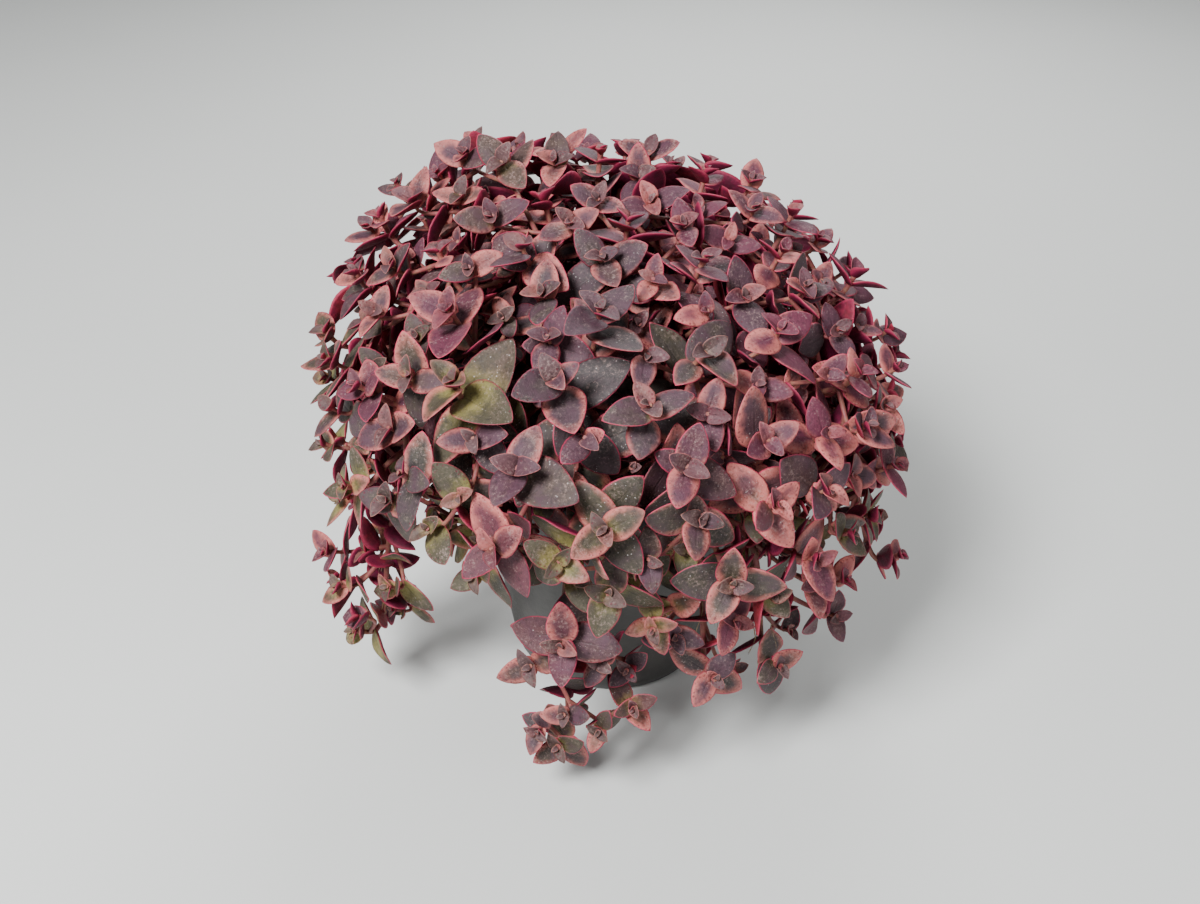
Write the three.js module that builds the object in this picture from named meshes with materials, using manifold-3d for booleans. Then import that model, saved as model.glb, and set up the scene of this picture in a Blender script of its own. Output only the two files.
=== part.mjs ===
// Potted Crassula marginalis: a plain tapered pot, its soil, and the leafy stems that arch out of it
// into a domed crown, with a few long stems trailing below the rim.
// Millimetres and degrees, +Z up. The origin is the centre of the pot's underside, the front faces -Y,
// and a bearing is counted from the front, towards +X.
import * as THREE from "three";
import { mergeVertices } from "three/addons/utils/BufferGeometryUtils.js";
import Module from "manifold-3d";

const wasm = await Module();
wasm.setup();

// Driving dimensions
const POT = {
  height: 90,
  baseRadius: 35,
  rimRadius: 49,
  wall: 1.6,
  floor: 2.2,
  bandHeight: 11,
  bandStep: 1.4,
  footHeight: 4,
  footInset: 1.2,
  edge: 0.8,
  sides: 36,
};
const DRAIN = { count: 6, radius: 4, ring: 23, sides: 8 };
const SOIL = { top: 82, gap: 0.35, sides: 24, bump: 0.7 };
const CROWN = { centre: 102, reach: 96, rise: 68, drop: 56 };
// How far the crown swells behind, and more at its left shoulder.
const SWELL = { back: 10, shoulder: 14, bearing: -125, power: 6 };
const HEM = { polar: 112, front: 14, right: 8 };
const ROOTS = { reach: 40, power: 0.8, widestPolar: 130 };
const STEM = { radius: 1.25, branchRadius: 1.05, neck: 0.75, step: 16, sunk: 4.6, branchAt: 0.62 };
const HOLE = { radius: 2, sides: 5, depth: 5 };
const LEAF = {
  thickness: 1.9,
  width: 0.7,
  widestAt: 0.42,
  cup: 0.28,
  lobe: 0.05,
  small: 8,
  large: 17,
};
const SPACING = { tips: 27.2, branch: 33, clear: 2.9, own: 2.2, joint: 4, sample: 2 };
const SPIRAL = { points: 900, goldenAngle: 137.508 };
const LEAF_RANGE = { least: 13, most: 18 };
const FACE = { lift: 0.5, tilt: 0.5, swing: 0.5 };
const TRAIL = { facePolar: 96, rootPolar: 118, perDrop: 0.16 };
const LEAN = { least: -0.5, most: 0.8 };
// A stem's way: straight out of the soil, over the rim from this polar angle on, then up to its tip.
const WAY = {
  overRim: 62,
  rise: 9,
  flare: 1.04,
  arch: 3,
  approach: 9,
  sideApproach: 8,
  rimOut: 12,
  rimIn: 7,
  rimUp: 5,
  rimArch: 22,
};
// How a pair of leaves varies, and how far its axis turns from the stem's to the shoot's.
const PAIR = { toFace: 0.75, perRank: 0.09, turn: 24, reach: 0.2, spread: 22, curl: 0.16, tilt: 26 };
const SEED = 417;

// Pairs of leaves from a shoot's tip downwards: distance from the tip, spread from the shoot's axis,
// and share of the shoot's full leaf length.
const PAIRS = [
  { below: 0.4, spread: 22, size: 0.2 },
  { below: 2, spread: 54, size: 0.42 },
  { below: 4.5, spread: 66, size: 0.74 },
  { below: 9, spread: 80, size: 1 },
  { below: 17, spread: 88, size: 1 },
  { below: 28, spread: 92, size: 0.95 },
  { below: 40, spread: 92, size: 0.9 },
  { below: 53, spread: 92, size: 0.85 },
];
const RANKS = { first: 1, main: 5, side: 4, trailing: 8 };

// What a leaf that would touch another stem's leaf tries in turn: lift towards the tip, turn, size.
const TRIES = [
  { lift: 0, turn: 0, size: 1 },
  { lift: 0, turn: 15, size: 1 },
  { lift: 0, turn: -15, size: 1 },
  { lift: 16, turn: 0, size: 1 },
  { lift: -14, turn: 0, size: 1 },
  { lift: 12, turn: 24, size: 0.9 },
  { lift: 12, turn: -24, size: 0.9 },
  { lift: 30, turn: 0, size: 0.85 },
  { lift: 20, turn: 30, size: 0.75 },
  { lift: 20, turn: -30, size: 0.75 },
  { lift: 42, turn: 0, size: 0.7 },
  { lift: 10, turn: 0, size: 0.6 },
];

// Shoots of the front and the outline: bearing, polar angle from the crown's top, leaf length, turn.
const CROWN_SHOOTS = [
  { bearing: -18, polar: 64, leaf: 19, turn: 90 },
  { bearing: -37, polar: 51, leaf: 21, turn: 80 },
  { bearing: -14, polar: 45, leaf: 20, turn: 40 },
  { bearing: 7, polar: 50, leaf: 19, turn: 20 },
  { bearing: 13, polar: 63, leaf: 17, turn: 60 },
  { bearing: -21, polar: 84, leaf: 18, turn: 45 },
  { bearing: 44, polar: 66, leaf: 15, turn: 65 },
  { bearing: -52, polar: 39, leaf: 18, turn: 30 },
  { bearing: -5, polar: 30, leaf: 19, turn: 55 },
  { bearing: 24, polar: 41, leaf: 20, turn: 110 },
  { bearing: 48, polar: 22, leaf: 16, turn: 85 },
  { bearing: 35, polar: 5, leaf: 15, turn: 30 },
  { bearing: -120, polar: 15, leaf: 15, turn: 0 },
  { bearing: -85, polar: 34, leaf: 14, turn: 20 },
  { bearing: -62, polar: 64, leaf: 14, turn: 50 },
  { bearing: -41, polar: 74, leaf: 14, turn: 10 },
  { bearing: -58, polar: 90, leaf: 13, turn: 40 },
  { bearing: 29, polar: 76, leaf: 15, turn: 15 },
  { bearing: -2, polar: 76, leaf: 16, turn: 35 },
  { bearing: 20, polar: 93, leaf: 16, turn: 70 },
  { bearing: 38, polar: 95, leaf: 19, turn: 100 },
  { bearing: 62, polar: 60, leaf: 14, turn: 25 },
  { bearing: 47, polar: 42, leaf: 17, turn: 5 },
  { bearing: 66, polar: 90, leaf: 14, turn: 60 },
  { bearing: 84, polar: 33, leaf: 14, turn: 75 },
  { bearing: -112, polar: 50, leaf: 14, turn: 15, above: 12 },
  { bearing: -140, polar: 34, leaf: 22, turn: 0, above: 5, erect: 0.6 },
  { bearing: 138, polar: 27, leaf: 13, turn: 80, above: 5 },
];

// Stems that trail below the rim, each with its side shoot if it has one: bearing, distance from the
// axis, height, leaf length, turn.
const TRAILING_STEMS = [
  [
    { bearing: -12, reach: 84, height: 23, leaf: 14, turn: 30 },
    { bearing: -10, reach: 90, height: 72, leaf: 18, turn: 90 },
  ],
  [
    { bearing: -66, reach: 96, height: 33, leaf: 14, turn: 60 },
    { bearing: -76, reach: 100, height: 55, leaf: 15, turn: 0 },
  ],
  [
    { bearing: 21, reach: 86, height: 51, leaf: 14, turn: 45 },
    { bearing: 7, reach: 91, height: 80, leaf: 12, turn: 20 },
  ],
  [
    { bearing: 36, reach: 89, height: 48, leaf: 13, turn: 10 },
    { bearing: 51, reach: 92, height: 56, leaf: 14, turn: 80 },
  ],
  [{ bearing: 76, reach: 101, height: 54, leaf: 13, turn: 30 }],
];

const degrees = THREE.MathUtils.degToRad;
const UP = new THREE.Vector3(0, 0, 1);

// A repeatable stream of numbers from 0 to 1.
function drawsFrom(seed) {
  let state = seed >>> 0;
  return () => {
    state = (state + 0x6d2b79f5) >>> 0;
    let mixed = Math.imul(state ^ (state >>> 15), state | 1) >>> 0;
    mixed = (mixed ^ (mixed + Math.imul(mixed ^ (mixed >>> 7), mixed | 61))) >>> 0;
    return ((mixed ^ (mixed >>> 14)) >>> 0) / 4294967296;
  };
}

const outward = (bearing) =>
  new THREE.Vector3(Math.sin(degrees(bearing)), -Math.cos(degrees(bearing)), 0);
const sideways = (bearing) =>
  new THREE.Vector3(Math.cos(degrees(bearing)), Math.sin(degrees(bearing)), 0);
const placed = (bearing, reach, height) =>
  outward(bearing).multiplyScalar(reach).addScaledVector(UP, height);

// A three.js geometry as a solid, and back.
function solidOf(geometry) {
  const bare = geometry.clone();
  bare.deleteAttribute("normal");
  bare.deleteAttribute("uv");
  const merged = mergeVertices(bare, 1e-3);
  return new wasm.Manifold(
    new wasm.Mesh({
      numProp: 3,
      vertProperties: new Float32Array(merged.attributes.position.array),
      triVerts: new Uint32Array(merged.index.array),
    }),
  );
}

function geometryOf(solid) {
  const made = solid.getMesh();
  const geometry = new THREE.BufferGeometry();
  geometry.setAttribute(
    "position",
    new THREE.BufferAttribute(new Float32Array(made.vertProperties), made.numProp),
  );
  geometry.setIndex(new THREE.BufferAttribute(new Uint32Array(made.triVerts), 1));
  geometry.computeVertexNormals();
  return geometry;
}

// The largest closed skin of a joined solid: drops loose scraps and fills sealed hollows.
function outerBody(solid) {
  return solid
    .decompose()
    .reduce((best, body) => (body.volume() > best.volume() ? body : best));
}

// Turned about Z from a closed profile of [radius, height] points.
function turned(profile, sides) {
  const points = profile.map(([radius, height]) => new THREE.Vector2(radius, height));
  return new THREE.LatheGeometry(points, sides).rotateX(Math.PI / 2);
}

// A closed upright prism, used as a cutter.
function prism(radius, sides, low, high) {
  return new THREE.CylinderGeometry(radius, radius, high - low, sides)
    .rotateX(Math.PI / 2)
    .translate(0, 0, (low + high) / 2);
}

// The outer radius of the pot's wall below its band.
function potRadius(height) {
  const bandRadius = POT.rimRadius - POT.bandStep;
  return POT.baseRadius + ((bandRadius - POT.baseRadius) * height) / POT.height;
}

function makePot() {
  const bandLow = POT.height - POT.bandHeight;
  const inner = (height) => potRadius(height) - POT.wall;
  let solid = solidOf(
    turned(
      [
        [0, 0],
        [POT.baseRadius - POT.footInset, 0],
        [potRadius(POT.footHeight), POT.footHeight],
        [potRadius(bandLow), bandLow],
        [POT.rimRadius - POT.edge, bandLow + POT.edge / 2],
        [POT.rimRadius, POT.height - POT.edge],
        [POT.rimRadius - POT.edge, POT.height],
        [inner(POT.height) + POT.edge / 2, POT.height],
        [inner(POT.height), POT.height - POT.edge],
        [inner(POT.floor), POT.floor],
        [0, POT.floor],
      ],
      POT.sides,
    ),
  );
  for (let i = 0; i < DRAIN.count; i++) {
    const middle = placed((360 / DRAIN.count) * i, DRAIN.ring, 0);
    const cutter = prism(DRAIN.radius, DRAIN.sides, -1, POT.floor + 1);
    solid = solid.subtract(solidOf(cutter.translate(middle.x, middle.y, 0)));
  }
  return solid;
}

// The soil fills the pot, with a gently lumpy top and a plain hole for each stem.
function makeSoil(roots) {
  const edge = (height) => potRadius(height) - POT.wall - SOIL.gap;
  const low = POT.floor + SOIL.gap;
  const rings = [1, 0.72, 0.4].map((share) => [edge(SOIL.top) * share, SOIL.top]);
  const geometry = turned([[0, low], [edge(low), low], ...rings, [0, SOIL.top]], SOIL.sides);
  const position = geometry.attributes.position;
  for (let i = 0; i < position.count; i++) {
    if (position.getZ(i) < SOIL.top - 1) continue;
    const lump = Math.sin(position.getX(i) * 0.31) * Math.cos(position.getY(i) * 0.27 + 1);
    position.setZ(i, SOIL.top + lump * SOIL.bump);
  }
  const cutters = roots.map((root) =>
    solidOf(
      prism(HOLE.radius, HOLE.sides, SOIL.top - HOLE.depth, SOIL.top + 3).translate(
        root.x,
        root.y,
        0,
      ),
    ),
  );
  return solidOf(geometry).subtract(wasm.Manifold.union(cutters));
}

// The crown's outer surface at a polar angle: an ellipsoid above its widest ring, a skirt below it.
function crownPoint(bearing, polar, above = 0) {
  const sine = Math.sin(degrees(polar));
  const cosine = Math.cos(degrees(polar));
  if (cosine >= 0)
    return placed(
      bearing,
      (CROWN.reach + above) * sine,
      CROWN.centre + (CROWN.rise + above) * cosine,
    );
  return placed(
    bearing,
    CROWN.reach * Math.sqrt(sine),
    CROWN.centre - CROWN.drop * Math.pow(-cosine, 0.8),
  );
}

// How far outside that surface the shoots of the spiral stand.
function swellAt(bearing, polar) {
  if (polar > 90) return 0;
  const back = Math.max(0, -Math.cos(degrees(bearing)));
  const shoulder = Math.max(0, Math.cos(degrees(bearing - SWELL.bearing)));
  const most = SWELL.back * back + SWELL.shoulder * Math.pow(shoulder, SWELL.power);
  return most * Math.sin(degrees(2 * polar));
}

// How far down the skirt reaches at a bearing, as a polar angle.
function hemPolar(bearing) {
  const angle = degrees(bearing);
  return HEM.polar - HEM.front * Math.cos(angle) + HEM.right * Math.sin(angle);
}

// Where a shoot looks: out of the crown and up towards the light.
function faceOf(bearing, polar, draw) {
  const tilt = (draw() - 0.5) * FACE.tilt;
  const swing = (draw() - 0.5) * FACE.swing;
  return outward(bearing)
    .multiplyScalar(Math.sin(degrees(polar)) + tilt)
    .addScaledVector(UP, Math.cos(degrees(polar)) + FACE.lift)
    .addScaledVector(sideways(bearing), swing)
    .normalize();
}

// A shoot as every later step uses it.
function shootFrom(given, number) {
  const draw = drawsFrom(SEED + 1009 * number);
  const trailing = given.height !== undefined;
  const facePolar = trailing ? TRAIL.facePolar : given.polar;
  const rootPolar = TRAIL.rootPolar + (POT.height - given.height) * TRAIL.perDrop;
  const tip = trailing
    ? placed(given.bearing, given.reach, given.height)
    : crownPoint(given.bearing, given.polar, given.above);
  return {
    bearing: given.bearing,
    polar: trailing ? rootPolar : given.polar,
    tip,
    face: faceOf(given.bearing, facePolar, draw),
    leaf: given.leaf ?? LEAF_RANGE.least + (LEAF_RANGE.most - LEAF_RANGE.least) * draw(),
    turn: given.turn ?? 180 * draw(),
    erect: given.erect ?? 1,
    draw,
  };
}

// The crown's shoots: those placed by hand, then a spiral over the crown wherever there is room.
function crownShoots(trailing) {
  const shoots = CROWN_SHOOTS.map((given, i) => shootFrom(given, trailing.length + i));
  const lowest = 1 - Math.cos(degrees(HEM.polar + HEM.front + HEM.right));
  for (let i = 0; i < SPIRAL.points; i++) {
    const bearing = (i * SPIRAL.goldenAngle) % 360;
    const polar = (Math.acos(1 - (lowest * (i + 0.5)) / SPIRAL.points) * 180) / Math.PI;
    if (polar > hemPolar(bearing)) continue;
    const above = swellAt(bearing, polar);
    const tip = crownPoint(bearing, polar, above);
    const all = [...trailing, ...shoots];
    if (all.every((other) => other.tip.distanceTo(tip) > SPACING.tips))
      shoots.push(shootFrom({ bearing, polar, above }, all.length));
  }
  return shoots;
}

// The way of a stem from its root to its tip, over the pot's rim where it has to.
function stemCurve(shoot) {
  const { bearing, polar, tip, face } = shoot;
  const share = Math.min(1, polar / ROOTS.widestPolar);
  const rootReach = ROOTS.reach * Math.pow(share, ROOTS.power);
  const low = placed(bearing, rootReach, SOIL.top - STEM.sunk);
  const neck = placed(bearing, rootReach, SOIL.top - 0.5);
  const approach = tip.clone().addScaledVector(face, -WAY.approach);
  const rise = placed(bearing, rootReach * WAY.flare, SOIL.top + WAY.rise);
  if (polar <= WAY.overRim) {
    const middle = rise.clone().lerp(approach, 0.5).addScaledVector(UP, WAY.arch);
    return new THREE.CatmullRomCurve3([low, neck, rise, middle, approach, tip]);
  }
  const fall = Math.min(1, (polar - WAY.overRim) / (ROOTS.widestPolar - WAY.overRim));
  const apexReach = POT.rimRadius + WAY.rimOut - WAY.rimIn * fall;
  const apexHeight = POT.height + WAY.rimUp + WAY.rimArch * (1 - fall);
  const apex = placed(bearing, apexReach, apexHeight);
  const shoulder = placed(
    bearing,
    THREE.MathUtils.lerp(apexReach, Math.hypot(tip.x, tip.y), 0.5),
    THREE.MathUtils.lerp(apexHeight, tip.z, 0.25),
  );
  return new THREE.CatmullRomCurve3([low, neck, rise, apex, shoulder, approach, tip]);
}

// A side stem, from a point of the main one to its own tip.
function branchCurve(trunk, shoot) {
  const start = trunk.getPointAt(STEM.branchAt);
  const approach = shoot.tip.clone().addScaledVector(shoot.face, -WAY.sideApproach);
  return new THREE.CatmullRomCurve3([start, approach, shoot.tip]);
}

// A stem with its main shoot and, where it has one, a side shoot.
function stemOf(main, side, ranks) {
  const curve = stemCurve(main);
  const parts = [{ shoot: main, curve, radius: STEM.radius, ranks, forks: Boolean(side) }];
  if (side) {
    const branch = branchCurve(curve, side);
    parts.push({ shoot: side, curve: branch, radius: STEM.branchRadius, ranks: RANKS.side });
  }
  return { root: curve.getPointAt(0), parts };
}

// All the leafy stems. In the crown each shoot takes its nearest free neighbour as its side shoot.
function leafyStems() {
  let number = 0;
  const trailing = TRAILING_STEMS.map((pair) => pair.map((given) => shootFrom(given, number++)));
  const shoots = crownShoots(trailing.flat());
  const stems = trailing.map(([main, side]) => stemOf(main, side, RANKS.trailing));
  const free = new Set(shoots);
  for (const main of shoots) {
    if (!free.delete(main)) continue;
    const [side] = [...free]
      .filter((other) => other.tip.distanceTo(main.tip) < SPACING.branch)
      .sort((a, b) => a.tip.distanceTo(main.tip) - b.tip.distanceTo(main.tip));
    free.delete(side);
    stems.push(stemOf(main, side, RANKS.main));
  }
  return stems;
}

// Half the leaf's width at a share of its length, as a share of its greatest half width.
function leafProfile(along) {
  return (Math.pow(along, 0.5) * Math.pow(1 - along, 0.8)) / 0.4206;
}

// A point of the leaf's middle surface: along from 0 at the stem to 1, across from -1 to 1.
function leafPoint(leaf, along, across) {
  const halfWidth = (leaf.length * LEAF.width) / 2;
  const y = halfWidth * leafProfile(along) * across;
  const x = leaf.length * (along - LEAF.lobe * across * across * (1 - along) ** 2);
  const z = (LEAF.cup * y * y) / halfWidth + leaf.length * leaf.curl * along * along;
  return leaf.base
    .clone()
    .addScaledVector(leaf.direction, x)
    .addScaledVector(leaf.across, y)
    .addScaledVector(leaf.up, z);
}

// A leaf's margin from one side of its base round the tip to the other: [along, across].
const MARGINS = {
  large: [
    [0.1, -0.85],
    [0.36, -1],
    [0.72, -1],
    [1, 0],
    [0.72, 1],
    [0.36, 1],
    [0.1, 0.85],
  ],
  middling: [
    [0.26, -1],
    [0.68, -1],
    [1, 0],
    [0.68, 1],
    [0.26, 1],
  ],
  small: [
    [0.4, -1],
    [1, 0],
    [0.4, 1],
  ],
};

function marginOf(leaf) {
  if (leaf.length >= LEAF.large) return MARGINS.large;
  return leaf.length < LEAF.small ? MARGINS.small : MARGINS.middling;
}

// A leaf as a lens, with a sharp margin round a thick middle, grown out of one face of its stalk.
// The face's corners go round it, low left first as the leaf sees them.
function addLeaf(mesh, leaf, corners) {
  const rise = (turn) => {
    const [a, b, c, d] = [0, 1, 2, 3].map((i) => mesh.points[corners[(i + turn) % 4]]);
    return c.clone().add(d).sub(a).sub(b).dot(leaf.up);
  };
  const best = [0, 1, 2, 3].reduce((a, b) => (rise(b) > rise(a) ? b : a));
  const [lowLeft, lowRight, highRight, highLeft] = [0, 1, 2, 3].map((i) => corners[(i + best) % 4]);
  const rim = marginOf(leaf).map(([along, across]) => mesh.point(leafPoint(leaf, along, across)));
  const middle = leafPoint(leaf, LEAF.widestAt, 0);
  const top = mesh.point(middle.clone().addScaledVector(leaf.up, LEAF.thickness / 2));
  const low = mesh.point(middle.clone().addScaledVector(leaf.up, -LEAF.thickness / 2));
  const [first, last] = [rim[0], rim.at(-1)];
  for (let i = 1; i < rim.length; i++)
    mesh.triangles.push([rim[i - 1], rim[i], top], [rim[i], rim[i - 1], low]);
  mesh.triangles.push(
    [last, highRight, top],
    [highRight, highLeft, top],
    [highLeft, first, top],
    [lowRight, last, low],
    [lowLeft, lowRight, low],
    [first, lowLeft, low],
    [highRight, last, lowRight],
    [highLeft, lowLeft, first],
  );
}

// The places along a stalk where it has a ring: even steps below, and two rings round each pair.
function ringPlaces(part) {
  const length = part.curve.getLength();
  const rings = [{ at: 0 }, { at: STEM.sunk + 0.4 }];
  const grown = part.pairs.filter((pair) => pair.set.some(Boolean));
  const stops = grown.map((pair) => ({
    pair,
    low: length - pair.below - STEM.neck,
    high: length - pair.below + STEM.neck,
  }));
  if (part.forks) stops.push({ low: length * STEM.branchAt, high: length * STEM.branchAt });
  stops.sort((a, b) => a.low - b.low);
  for (const { pair, low, high } of stops) {
    const from = rings.at(-1).at;
    const steps = Math.round((low - from) / STEM.step);
    for (let i = 1; i < steps; i++) rings.push({ at: from + ((low - from) * i) / steps });
    if (low - rings.at(-1).at > STEM.neck) rings.push({ at: low });
    rings.at(-1).pair = pair;
    if (high > low) rings.push({ at: high });
  }
  return rings;
}

// One shoot as a closed mesh: a square stalk whose faces open into its leaves.
function shootGeometry(part) {
  const { curve, shoot, radius } = part;
  const mesh = {
    points: [],
    triangles: [],
    point(at) {
      return this.points.push(at) - 1;
    },
  };
  const length = curve.getLength();
  const places = ringPlaces(part);
  let side = sideways(shoot.bearing);
  const rings = places.toReversed().map(({ at, pair }) => {
    const centre = curve.getPointAt(at / length);
    const along = curve.getTangentAt(at / length);
    side = side.addScaledVector(along, -side.dot(along)).normalize().clone();
    const third = along.clone().cross(side);
    const faces = [0, 90, 180, 270].map((quarter) => {
      const angle = degrees(shoot.turn + quarter);
      return side
        .clone()
        .multiplyScalar(Math.cos(angle))
        .addScaledVector(third, Math.sin(angle));
    });
    const corners = faces.map((face, i) =>
      mesh.point(
        centre
          .clone()
          .addScaledVector(face, radius * Math.SQRT1_2)
          .addScaledVector(faces[(i + 3) % 4], radius * Math.SQRT1_2),
      ),
    );
    return { faces, corners, pair };
  });
  rings.reverse();
  for (let i = 1; i < rings.length; i++) {
    const [low, high] = [rings[i - 1], rings[i]];
    const grown = new Map();
    if (low.pair) {
      const [one, other] = low.pair.set;
      const toward = one ? one.direction : other.direction.clone().negate();
      const facing = low.faces.map((face) => face.dot(toward));
      const best = facing.indexOf(Math.max(...facing));
      grown.set(best, one);
      grown.set((best + 2) % 4, other);
    }
    for (let face = 0; face < 4; face++) {
      const next = (face + 1) % 4;
      const corners = [low.corners[face], low.corners[next], high.corners[next], high.corners[face]];
      const [a, b, c, d] = corners;
      if (grown.get(face)) addLeaf(mesh, grown.get(face), corners);
      else mesh.triangles.push([a, b, c], [a, c, d]);
    }
  }
  const [a, b, c, d] = rings[0].corners;
  mesh.triangles.push([a, c, b], [a, d, c]);
  const bud = mesh.point(shoot.tip);
  const end = rings.at(-1).corners;
  for (let i = 0; i < 4; i++) mesh.triangles.push([end[i], end[(i + 1) % 4], bud]);
  const geometry = new THREE.BufferGeometry().setFromPoints(mesh.points);
  geometry.setIndex(mesh.triangles.flat());
  return geometry;
}

// Points spread over a leaf, closer together than the clearance that is kept round them.
function leafSamples(leaf) {
  const rows = Math.max(3, Math.ceil(leaf.length / SPACING.sample));
  const samples = [];
  for (let row = 1; row <= rows; row++) {
    const along = row / rows;
    const width = leaf.length * LEAF.width * leafProfile(along);
    const columns = Math.max(1, Math.ceil(width / SPACING.sample));
    for (let column = 0; column <= columns; column++)
      samples.push(leafPoint(leaf, along, (2 * column) / columns - 1));
  }
  return samples;
}

// What already stands in each small cell of space, and whose it is. A leaf keeps its distance from
// other shoots everywhere, and from its own shoot's leaves and stalk outside the crowded joint.
class Occupied {
  constructor() {
    this.cells = new Map();
  }
  cellOf(point) {
    return [point.x, point.y, point.z].map((value) => Math.floor(value / SPACING.clear) + 512);
  }
  add(point, owner, fromBase) {
    const [x, y, z] = this.cellOf(point);
    const key = (x * 1024 + y) * 1024 + z;
    if (!this.cells.has(key)) this.cells.set(key, []);
    this.cells.get(key).push({ point, owner, fromBase });
  }
  blocks(point, owner, fromBase) {
    const [x, y, z] = this.cellOf(point);
    for (let i = x - 1; i <= x + 1; i++)
      for (let j = y - 1; j <= y + 1; j++)
        for (let k = z - 1; k <= z + 1; k++)
          for (const other of this.cells.get((i * 1024 + j) * 1024 + k) ?? []) {
            const apart = other.point.distanceTo(point);
            if (other.owner !== owner && apart < SPACING.clear) return true;
            const open = Math.min(fromBase, other.fromBase) > SPACING.joint;
            if (other.owner === owner && open && apart < SPACING.own) return true;
          }
    return false;
  }
}

// Whether a point is too near the pot, the soil or the surface that the pot stands on.
function meetsPot(point) {
  if (point.z < 2) return true;
  const reach = Math.hypot(point.x, point.y);
  if (point.z > POT.height + 2) return false;
  return reach < POT.rimRadius + 2;
}

// The pair of leaves at one joint of a shoot, as it would grow with nothing in the way.
function pairOf(part, rank) {
  const { shoot, curve } = part;
  const { below, spread, size } = PAIRS[rank];
  const length = curve.getLength();
  const at = Math.max(0, 1 - below / length);
  const toFace = PAIR.toFace - PAIR.perRank * rank;
  const axis = curve.getTangentAt(at).lerp(shoot.face, toFace).normalize();
  const side = sideways(shoot.bearing);
  side.addScaledVector(axis, -side.dot(axis)).normalize();
  const turn = shoot.turn + 90 * rank + PAIR.turn * (shoot.draw() - 0.5);
  const reach = shoot.leaf * size * (1 + PAIR.reach * (shoot.draw() - 0.5));
  const pair = {
    base: curve.getPointAt(at),
    along: curve.getTangentAt(at),
    below,
    axis,
    side,
    leaves: [],
  };
  for (const half of [0, 180])
    pair.leaves.push({
      turn: turn + half,
      spread: spread * shoot.erect + PAIR.spread * (shoot.draw() - 0.5),
      length: reach,
      curl: PAIR.curl * (shoot.draw() - 0.62),
      tilt: PAIR.tilt * (shoot.draw() - 0.5),
    });
  return pair;
}

// A leaf set on its stem, after one of the tries.
function setLeaf(pair, leaf, attempt) {
  const turn = degrees(leaf.turn + attempt.turn);
  const spread = degrees(leaf.spread - attempt.lift);
  const tilt = degrees(leaf.tilt);
  const third = pair.axis.clone().cross(pair.side);
  const away = pair.side
    .clone()
    .multiplyScalar(Math.cos(turn))
    .addScaledVector(third, Math.sin(turn));
  const direction = away
    .clone()
    .multiplyScalar(Math.sin(spread))
    .addScaledVector(pair.axis, Math.cos(spread));
  const flat = away
    .clone()
    .multiplyScalar(-Math.cos(spread))
    .addScaledVector(pair.axis, Math.sin(spread));
  const level = flat.clone().cross(direction);
  const up = flat.multiplyScalar(Math.cos(tilt)).addScaledVector(level, Math.sin(tilt));
  return {
    base: pair.base,
    direction,
    up,
    across: up.clone().cross(direction),
    length: leaf.length * attempt.size,
    curl: leaf.curl,
  };
}

// The first try at a leaf that stays clear of the pot and of everything grown before it.
function roomFor(pair, leaf, part, occupied) {
  for (const attempt of TRIES) {
    const set = setLeaf(pair, leaf, attempt);
    const lean = set.direction.dot(pair.along);
    if (lean > LEAN.most || lean < LEAN.least) continue;
    const samples = leafSamples(set).map((point) => ({
      point,
      fromBase: point.distanceTo(set.base),
    }));
    const blocked = ({ point, fromBase }) =>
      meetsPot(point) || occupied.blocks(point, part, fromBase);
    if (samples.some(blocked)) continue;
    samples.forEach(({ point, fromBase }) => occupied.add(point, part, fromBase));
    return set;
  }
  return null;
}

// Leaves for all the stems, the youngest pairs first; one with no room at all is left out.
function growLeaves(stems) {
  const occupied = new Occupied();
  const parts = stems.flatMap((stem) => stem.parts);
  for (const part of parts) {
    const length = part.curve.getLength();
    const steps = Math.ceil(length / SPACING.sample);
    for (const point of part.curve.getSpacedPoints(steps)) occupied.add(point, part, Infinity);
    part.pairs = PAIRS.map((_, rank) => pairOf(part, rank));
  }
  PAIRS.forEach((_, rank) => {
    for (const part of parts) {
      const pair = part.pairs[rank];
      pair.set = [null, null];
      if (rank < RANKS.first || rank >= part.ranks) continue;
      pair.set = pair.leaves.map((leaf) => roomFor(pair, leaf, part, occupied));
    }
  });
}

// One leafy stem: its main shoot and its side shoot, joined.
const makeLeafyStem = (stem) =>
  outerBody(wasm.Manifold.union(stem.parts.map((part) => solidOf(shootGeometry(part)))));

const finishes = {
  pot: new THREE.MeshStandardMaterial({ color: 0x2b2a29, roughness: 0.6, metalness: 0 }),
  soil: new THREE.MeshStandardMaterial({ color: 0x2e2118, roughness: 1, metalness: 0 }),
  foliage: new THREE.MeshStandardMaterial({ color: 0x8a4a52, roughness: 0.55, metalness: 0 }),
};

const stems = leafyStems();
growLeaves(stems);

const plant = new THREE.Group();
function addNode(name, solid, finish) {
  const mesh = new THREE.Mesh(geometryOf(solid), finish);
  mesh.name = name;
  plant.add(mesh);
}
addNode("pot", makePot(), finishes.pot);
addNode("soil", makeSoil(stems.map((stem) => stem.root)), finishes.soil);
stems.forEach((stem, i) => {
  const number = String(i + 1).padStart(2, "0");
  addNode(`leafy_stem_${number}`, makeLeafyStem(stem), finishes.foliage);
});

export default plant;
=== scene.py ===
"""Looks of the potted Crassula marginalis: fine leaves, stems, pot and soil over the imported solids.

The leafy stems grow here by the same rule and the same seeded draws as the solids do, so each fine
leaf lies where its plain leaf lies. The looks then add what the solids leave out: the folded leaves
at each tip, more of the lower pairs, small shoots between the large ones, hanging roots and colour.
Lengths are in millimetres and angles in degrees while the plant grows, and in metres in a mesh.
"""

import logging
import math
from collections.abc import Callable, Iterable, Sequence
from dataclasses import dataclass, field, replace
from enum import Enum

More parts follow.
